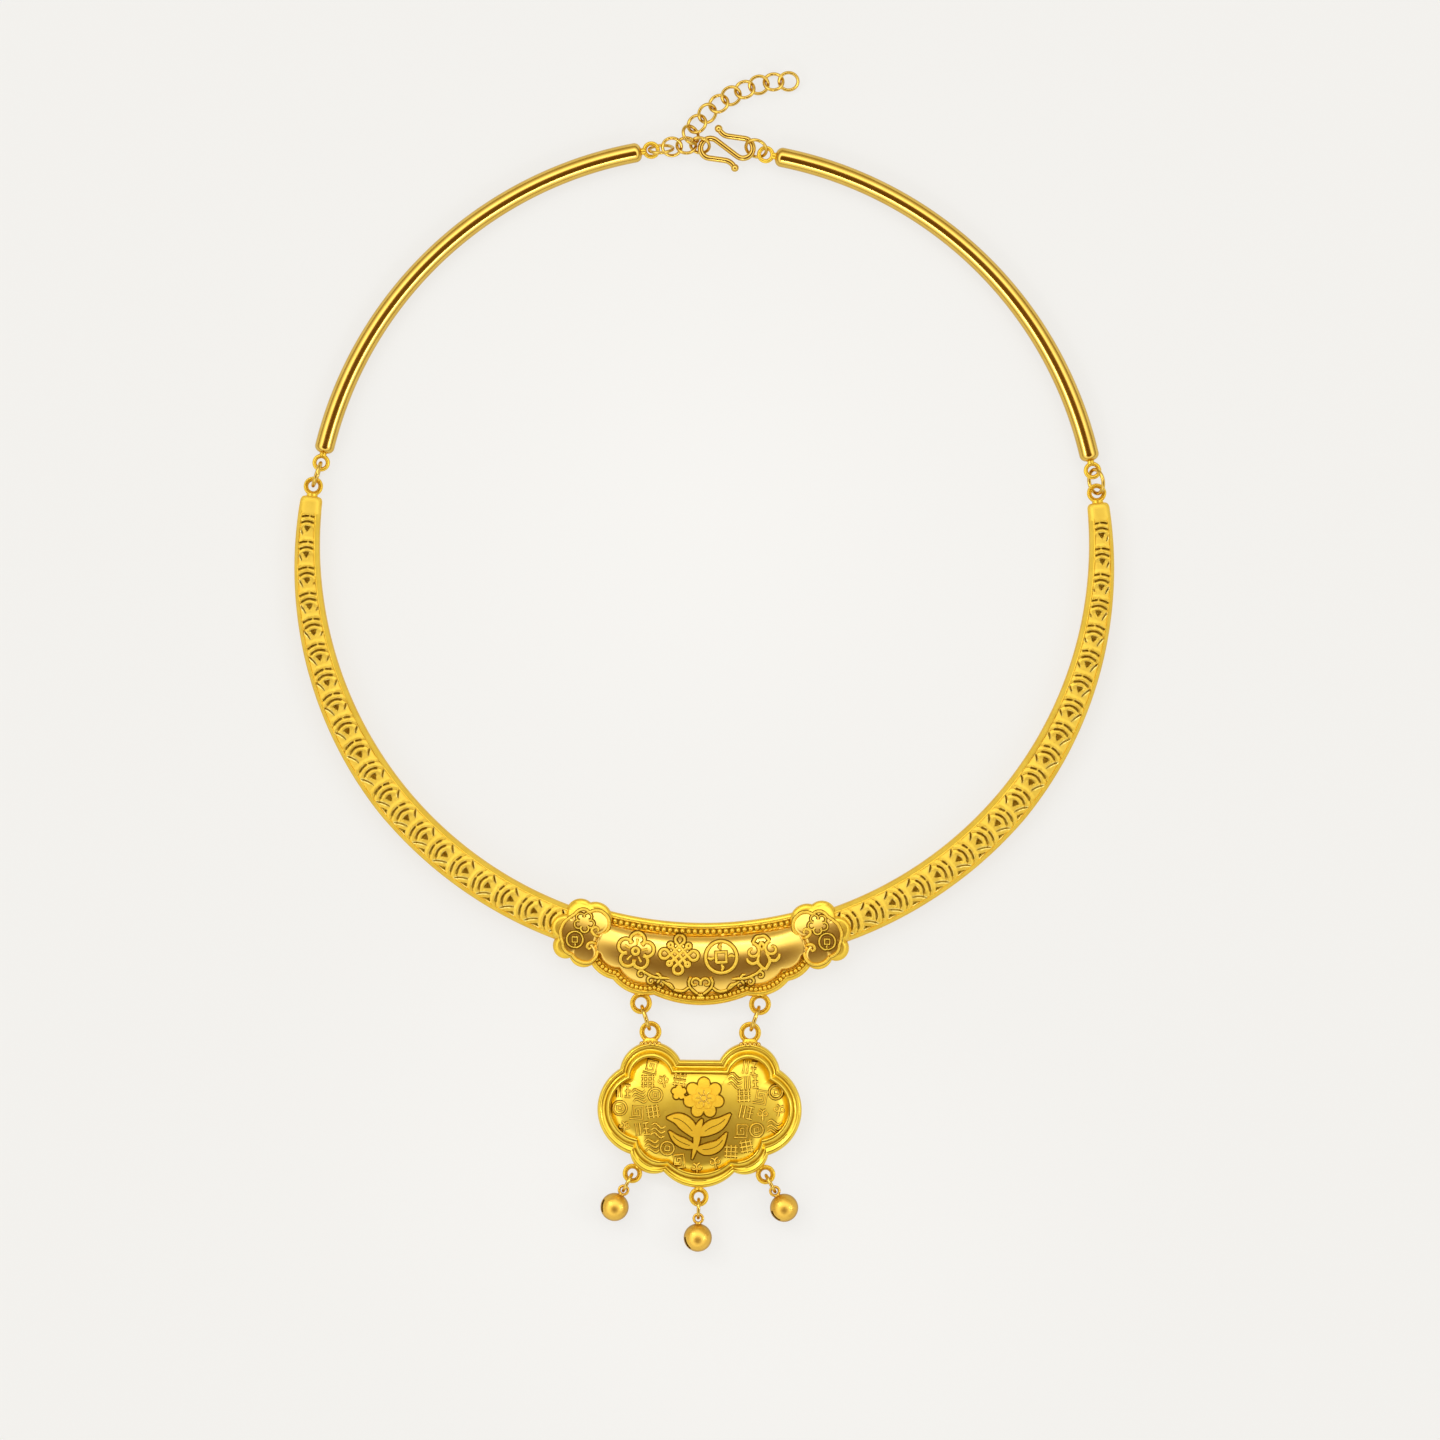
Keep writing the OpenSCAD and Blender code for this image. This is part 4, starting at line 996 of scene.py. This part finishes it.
def lock_shell(u, v):
    around = np.rint(u * (len(LOCK_OUTLINE) - 1)).astype(int)
    out, field = LOCK_OUTLINE[around], FIELD_OUTLINE[around]
    index = np.rint(v * LOCK_ROWS).astype(int)
    inward = out - lock_middle
    inward = inward / np.linalg.norm(inward, axis=1)[:, None]
    at, z = np.tile(lock_middle, (len(index), 1)), np.zeros(len(index))
    for k, (inset, height) in enumerate(LOCK_BACK):
        here = index == k + 1
        at[here], z[here] = (out - inward * inset)[here], height
    for k, (share, height) in enumerate(LOCK_PROFILE):
        here = index == len(LOCK_BACK) + 1 + k
        at[here], z[here] = (out + (field - out) * share)[here], height
    first = len(LOCK_BACK) + 1 + len(LOCK_PROFILE)
    inner = index >= first
    share = 1 - (index - first) / (LOCK_ROWS - first)
    at[inner] = (lock_middle + (field - lock_middle) * share[:, None])[inner]
    z[inner] = lock_field_z(at[inner, 0], at[inner, 1])
    return np.stack([at[:, 0], at[:, 1], z], -1) * mm


lock_field_gold = gold("lock field", (1.0, 0.75, 0.1), (0.86, 0.6, 0.04), 0.35, 6000, 0.2, 0.33, 0.5)
rim_gold = gold("brushed rim gold", (0.98, 0.73, 0.09), (0.74, 0.48, 0.02), 0.3, 8000, 0.35, 0.26)
lock_plate = painted(moulded("lock plate", len(LOCK_OUTLINE) - 1, LOCK_ROWS, lock_shell, 35), lock_field_gold)
x, y, z = face_middles(lock_plate)
zoned(lock_plate, [rim_gold], ~inside(np.stack([x, y], -1), FIELD_OUTLINE) | (z < 2))


def raised_patch(name, outline, height, finish):
    """A flat-topped shape with a bevelled edge, standing on the lock's field."""
    bevel = 0.13
    outline = tidy_loop(np.array(outline, float), 0.08)
    filling = grid_points(outline.min(0), outline.max(0), 0.35)
    filling = filling[inside(filling, grown(outline, -bevel - 0.12))]
    n = len(outline)
    edges = [(k * n + i, k * n + (i + 1) % n) for k in (0, 1) for i in range(n)]
    flat, faces, origin = triangles([*outline, *grown(outline, -bevel), *filling], edges)
    foot = np.array([any(k < n for k in from_) for from_ in origin])
    faces = faces[inside(flat[faces].mean(1), outline)]
    x, y = flat.T
    z = lock_field_z(x, y) + np.where(foot, -0.25, height)
    return painted(closed(from_faces(name, np.stack([x, y, z], -1) * mm, faces), 30), finish)


# The spray: a large blossom, a bud, their stems and four leaves, cut from sheet and stippled
stippled_gold = gold("stippled gold", (1.0, 0.68, 0.06), (0.9, 0.52, 0.03), 0.3, 5200, 1.0, 0.52)


def petal_ring(x, y, inner, outer, count, start=90):
    turn = np.linspace(0, 2 * np.pi, 96, endpoint=False)
    r = inner + (outer - inner) * np.abs(np.cos(count * (turn - math.radians(start)) / 2)) ** 0.55
    return np.stack([x + r * np.cos(turn), y + r * np.sin(turn)], -1)


def leaf(spine, wide):
    line = sweep(spine, 7)[:, :2]
    run = np.gradient(line, axis=0)
    run /= np.linalg.norm(run, axis=1)[:, None]
    side = np.stack([-run[:, 1], run[:, 0]], -1)
    t = np.linspace(0, 1, len(line))[:, None]
    half = wide / 2 * np.sin(np.pi * t ** 0.8) ** 0.9 + 0.17
    return np.concatenate([line - side * half, (line + side * half)[::-1]])


blossom_at = (0.7, 2.2)
leaf_spines = [
    [(-0.3, -4.6), (-1.9, -2.6), (-3.6, -1.4), (-5.6, -1.2)],
    [(-0.5, -6.2), (-2.4, -5.6), (-3.9, -4.8), (-5.2, -3.4)],
    [(-0.3, -4.2), (1.8, -2.9), (3.6, -2.0), (5.3, -0.4)],
    [(-0.5, -6.4), (1.4, -6.5), (3.3, -5.7), (4.7, -3.6)]
]
spray = [
    (petal_ring(*blossom_at, 2.3, 3.5, 7), 0.3), (petal_ring(*blossom_at, 1.35, 2.1, 6, 60), 0.48),
    (petal_ring(-3.5, 3.1, 0.9, 1.35, 5), 0.34),
    (leaf([(0.5, -1.3), (-0.3, -3.2), (-0.5, -5.4), (-1.2, -8.3)], 1.1), 0.32),
    *[(leaf(spine, wide), 0.3) for spine, wide in zip(leaf_spines, (2.3, 1.5, 2.2, 1.9))],
    (leaf([(-1.6, 1.2), (-2.2, 2.0), (-2.9, 2.5)], 0.6), 0.26)
]
lock_parts = [lock_plate]
for outline, height in spray:
    lock_parts.append(raised_patch("spray", outline, height, stippled_gold))
    # Round each part a thin dark wire, half sunk in the field: a painted shadow outline
    edge = grown(outline, 0.05)
    lock_parts.append(raised_lines("painted shadow outline", [[*edge, edge[0]]], 0.18, lock_field_z, shadow_line_gold,
                                   height - 0.28, 1))
# Dark lines over the blossom and the leaves: painted shade where the veins are chased
veins = [[(*polar(r, t, *blossom_at), wide) for r, wide in ((2.15, 0.6), (2.9, 1.0))]
         for t in np.arange(7) * 360 / 7 + 90 + 180 / 7]
veins += [sweep(spine, 7)[4:-4] for spine in leaf_spines]
lock_parts.append(raised_lines("painted shade veins", veins, 0.17, lock_field_z, shadow_line_gold, 0.26, 1))
polished_gold = gold("polished gold", (0.82, 0.56, 0.12), (0.56, 0.33, 0.02), 0.2, 2500, 0.01, 0.12, 0.7)
heart = [round_line(*blossom_at, 0.55)] + [[(*polar(0.7, t, *blossom_at), 0.6), polar(1.3, t, *blossom_at)]
                                           for t in range(0, 360, 45)]
lock_parts.append(raised_lines("blossom heart", heart, 0.22, lock_field_z, polished_gold, 0.5))

# Small emblems in fine wire all over the field: coins, frets, clouds, waves and knots
fret = [[(-1, -1), (1, -1), (1, 1), (-0.55, 1), (-0.55, -0.5), (0.5, -0.5), (0.5, 0.45), (0, 0.45), (0, 0)]]
wave = [sweep([(-1.1, k, 0.7), (-0.55, k + 0.35), (0, k), (0.55, k - 0.35), (1.1, k, 0.7)], 6)
        for k in (-0.75, 0, 0.75)]
bars = [[(x, -1), (x, 1)] for x in (-0.9, -0.3)] + [[(0.2, y), (1.1, y)] for y in (-0.9, 0, 0.9)]
bars.append([(0.65, -0.9), (0.65, 0.9)])
small_coin = [round_line(0, 0, 1.05, n=20), square_line(0.35)]
small_cloud = [spiral((0.5, 0), 0.6, 0.15, 90, 430, 0.7, 16), spiral((-0.5, 0), 0.6, 0.15, 90, -250, 0.7, 16),
               [(0, -0.2), (0, -1.1)]]
small_knot = [[(q, -1), (q, 1)] for q in (-0.7, 0.7, 0)] + [[(-1, q), (1, q)] for q in (-0.7, 0.7, 0)]
kinds_of_sign = [fret, small_coin, wave, bars, small_cloud, small_knot]
sign_places = [
    (-8.4, 7.3), (-8.8, 4.9), (-6.2, 5.1), (-12.9, 3.2), (-10.2, 2.4), (-7.5, 2.6), (-13.5, 0.3),
    (-10.7, -0.4), (-7.9, -0.2), (-12.7, -2.7), (-9.7, -3.2), (-7.0, -3.4), (-8.0, -6.0), (-5.4, -6.4),
    (-3.6, -8.6), (-3.4, 5.2), (-0.4, -9.6), (8.4, 7.3), (8.7, 4.9), (6.0, 5.1), (12.9, 3.2), (10.2, 2.4),
    (7.5, 2.6), (13.5, 0.3), (10.7, -0.4), (7.9, -0.2), (12.7, -2.7), (9.7, -3.2), (7.0, -3.4), (8.0, -6.0),
    (5.4, -6.9), (2.7, -8.6)
]
signs = []
for k, (x, y) in enumerate(sign_places):
    signs += set_down(kinds_of_sign[(k * 5 + k // 6) % 6], x, y, (k * 37) % 25 - 12, 1.08)
lock_parts.append(wired("small emblems", signs, lock_field_z, 0.31, 0.1, 0.67, 0.17, (1, 1)))

# Eyes of the lock: two large ones on its ears, each over a row of grains, three for the bells
ear_eye_y = 6.05 + 5.45 + 3.75 / 2 - 0.35 + 0.18
for x in (-8.45, 8.45):
    lock_parts.append(cast_eye((x, ear_eye_y, 2), (x, ear_eye_y - 3.0, 2), 1.8, *large_eye))
    bpy.ops.mesh.primitive_cone_add(vertices=48, radius1=1.9 * mm, radius2=1.05 * mm, depth=1.3 * mm,
                                    location=(x * mm, (ear_eye_y - 1.75) * mm, 2.1 * mm),
                                    rotation=(-math.pi / 2, 0, 0), scale=(1, 0.45, 1))
    lock_parts.append(painted(settled("flared foot", 40), satin_gold))
    for i in range(-2, 3):
        grain_at = Vector((x + i * 0.74, ear_eye_y - 1.95, 2.9)) * mm
        bpy.ops.mesh.primitive_ico_sphere_add(subdivisions=3, radius=0.38 * mm, location=grain_at)
        lock_parts.append(painted(settled("grain"), polished_gold))
for x, y in ((-11.3, -10.85), (0.0, -5.1 - 8.1 - 1.67 + 0.35 / 3), (11.3, -10.85)):
    inner = 1 - 2.6 / math.hypot(x, y)
    lock_parts.append(cast_eye((x, y, 2), (x * inner, y * inner, 2), 1.5, 3.34, 0.88))
lock_piece = joined("lock_front", lock_parts)
lock_piece.data.transform(Matrix.Translation((0, lock_y * mm, 0)))
turned(lock_piece)
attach(lock_piece, "root")
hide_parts("lock")

# The back tubes: bent round bar, polished to a mirror, with rounded ends and a plain wire eye soldered
# on at each with a short neck. The left one is the mirror image, shifted and turned a little as it lies.
tube_r, tube_radius = 67.07, 1.675
low_eye_a, top_eye_a = 10.83, 81.08
tube_low_a, tube_top_a = low_eye_a + 2.4, top_eye_a - 2.4
TUBE_COLS, END_COLS = 180, 14


def tube_skin(u, v):
    index = np.rint(u * TUBE_COLS).astype(int)
    turn = 2 * np.pi * v
    share = np.clip((index - END_COLS) / (TUBE_COLS - 2 * END_COLS), 0, 1)
    a = np.radians(tube_low_a + (tube_top_a - tube_low_a) * share)
    past_low, past_top = index / END_COLS - 1, (index - TUBE_COLS + END_COLS) / END_COLS
    bulge = np.radians(90) * (np.minimum(past_low, 0) + np.maximum(past_top, 0))
    drawn = tube_radius * np.cos(bulge) ** 0.8
    out = tube_r + drawn * np.cos(turn)
    past = 1.2 * np.sin(bulge)
    return np.stack([out * np.cos(a) - past * np.sin(a), out * np.sin(a) + past * np.cos(a),
                     tube_radius + drawn * np.sin(turn)], -1) * mm


def at_tube(a):
    return Vector((*polar(tube_r, a), tube_radius))


def wire_ring(name, place, normal, outer, wire, finish, segments=72):
    bpy.ops.mesh.primitive_torus_add(location=Vector(place) * mm, major_segments=segments, minor_segments=20,
                                     rotation=Vector(normal).to_track_quat("Z", "Y").to_euler(),
                                     major_radius=(outer - wire) / 2 * mm, minor_radius=wire / 2 * mm)
    return painted(settled(name), finish)


def add_ride(piece, node):
    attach(piece, "root")
    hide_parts(node)


tube_parts = [painted(moulded("tube", TUBE_COLS, 48, tube_skin, 60), polished_gold)]
for a, to in ((low_eye_a, tube_low_a), (top_eye_a, tube_top_a)):
    tube_parts.append(wire_ring("tube eye", at_tube(a), (0, 0, 1), 3.0, 0.74, satin_gold))
    rim = a + math.copysign(math.degrees(1.13 / tube_r), to - a)
    tube_parts.append(short_neck(at_tube(rim), at_tube(to), 1.2, satin_gold))
tube_right = joined("tube_right", tube_parts)
tube_left = mirrored(tube_right, "tube_left")
left_shift = Matrix.Translation(Vector((0.66, 0.64, 0)) * mm)
tube_left.data.transform(left_shift @ Matrix.Rotation(math.radians(-0.6), 4, "Z"))
add_ride(tube_right, "back_tube_right")
add_ride(tube_left, "back_tube_left")


# Rings of round gold wire, bent shut and polished: the jump rings, the bells' rings and the chain.
# Each takes its place and its turn from its solid.
def solid_points(node):
    solid = bpy.data.objects[node]
    return np.array([tuple(solid.matrix_world @ point.co) for point in solid.data.vertices]) / mm


def ring_like(node, outer, wire):
    at = solid_points(node)
    middle = (at.min(0) + at.max(0)) / 2
    normal = np.linalg.svd(at - middle, full_matrices=False)[2][2]
    add_ride(wire_ring(node + "_wire", middle, normal, outer, wire, polished_gold), node)


for node in ("arm_ring_left", "arm_ring_right", "lock_ring_left", "lock_ring_right"):
    ring_like(node, 4.74, 0.66)
for node in ("bell_ring_left", "bell_ring_middle", "bell_ring_right"):
    ring_like(node, 3.8, 0.6)
ring_like("hook_ring", 4.18, 0.58)
ring_like("chain_ring_1", 4.58, 0.58)
for node in ["chain_ring_%d" % k for k in range(2, 5)] + ["extender_ring_%d" % k for k in range(1, 10)]:
    ring_like(node, 3.78, 0.58)

# The double hook: one round gold wire with two bends, its limbs flared and ended in balls. It
# holds the tube's ring in one bend and the chain in the other.
hook_at = solid_points("clasp_hook")
hook_mid = (hook_at.min(0) + hook_at.max(0)) / 2
bend = round_line(-2.78, 0, 1.68, 52.8, 262, 30)[:, :2]
limb = bend[-1] + polar(2.75, -8)
curl = round_line(*(limb + polar(2, -98)), 2, 82, 35, 8)[:, :2]
hook_half = np.array([*bend, *curl, curl[-1] + polar(0.55, -55)])
hook_line = np.concatenate([hook_half[::-1], -hook_half]) + hook_mid[:2]
hook_parts = [raised_lines("hook wire", [hook_line], 1.0, lambda x, y: 0 * x, polished_gold, hook_mid[2], 5)]
for end in (hook_line[0], hook_line[-1]):
    bpy.ops.mesh.primitive_uv_sphere_add(segments=32, ring_count=20, radius=0.68 * mm,
                                         location=Vector((*end, hook_mid[2])) * mm)
    hook_parts.append(painted(settled("hook ball"), polished_gold))
add_ride(joined("hook", hook_parts), "clasp_hook")

# The bells: hollow balls pressed from thin sheet and polished, each with a slit cut in its side
# and a small eye soldered on with a short neck.
# Its steep sides take a much darker deep colour at full strength: painted shade towards the bell's edges
bell_gold = gold("bell gold", (1.0, 0.64, 0.11), (0.46, 0.25, 0.015), 0.15, 6000, 0.2, 0.37, 1.0)
bell_r = 2.4


def round_bell(side, x, y, hang, slit_a):
    """A bell at a place, hung at an angle from upright, with its slit towards another angle."""
    middle = Vector((x, y, bell_r))
    bpy.ops.mesh.primitive_uv_sphere_add(segments=72, ring_count=44, radius=bell_r * mm, location=middle * mm)
    ball = painted(selected("ball"), bell_gold)
    bpy.ops.object.transform_apply()
    wall = ball.modifiers.new("wall", "SOLIDIFY")
    wall.thickness = 0.3 * mm
    wall.offset = -1
    bpy.ops.object.modifier_apply(modifier="wall")
    out = Vector((*polar(1, slit_a), 0.52)).normalized()
    across = out.cross(Vector((-out.y, out.x, 0)))
    bpy.ops.mesh.primitive_cylinder_add(vertices=24, radius=1.1 * mm, depth=0.6 * mm,
                                        location=(middle + out * bell_r) * mm,
                                        rotation=across.to_track_quat("Z", "Y").to_euler())
    cutter = bpy.context.object
    cut = ball.modifiers.new("slit", "BOOLEAN")
    cut.object = cutter
    cut.operation = "DIFFERENCE"
    cut.solver = "EXACT"
    alone(ball)
    bpy.ops.object.modifier_apply(modifier="slit")
    bpy.data.objects.remove(cutter)
    smooth(35)
    up = Vector((*polar(1, hang + 90), 0))
    eye = wire_ring("bell eye", middle + up * 3.23, (0, 0, 1), 1.98, 0.5, bell_gold, 48)
    neck = short_neck(middle + up * 2.2, middle + up * 2.62, 0.95, bell_gold)
    add_ride(joined("round_bell_" + side, [ball, eye, neck]), "bell_" + side)


round_bell("left", -15.25, -112.38, -28, 172)
round_bell("middle", -1.14, -117.58, -1.5, 206)
round_bell("right", 13.51, -112.52, 29.2, 222)
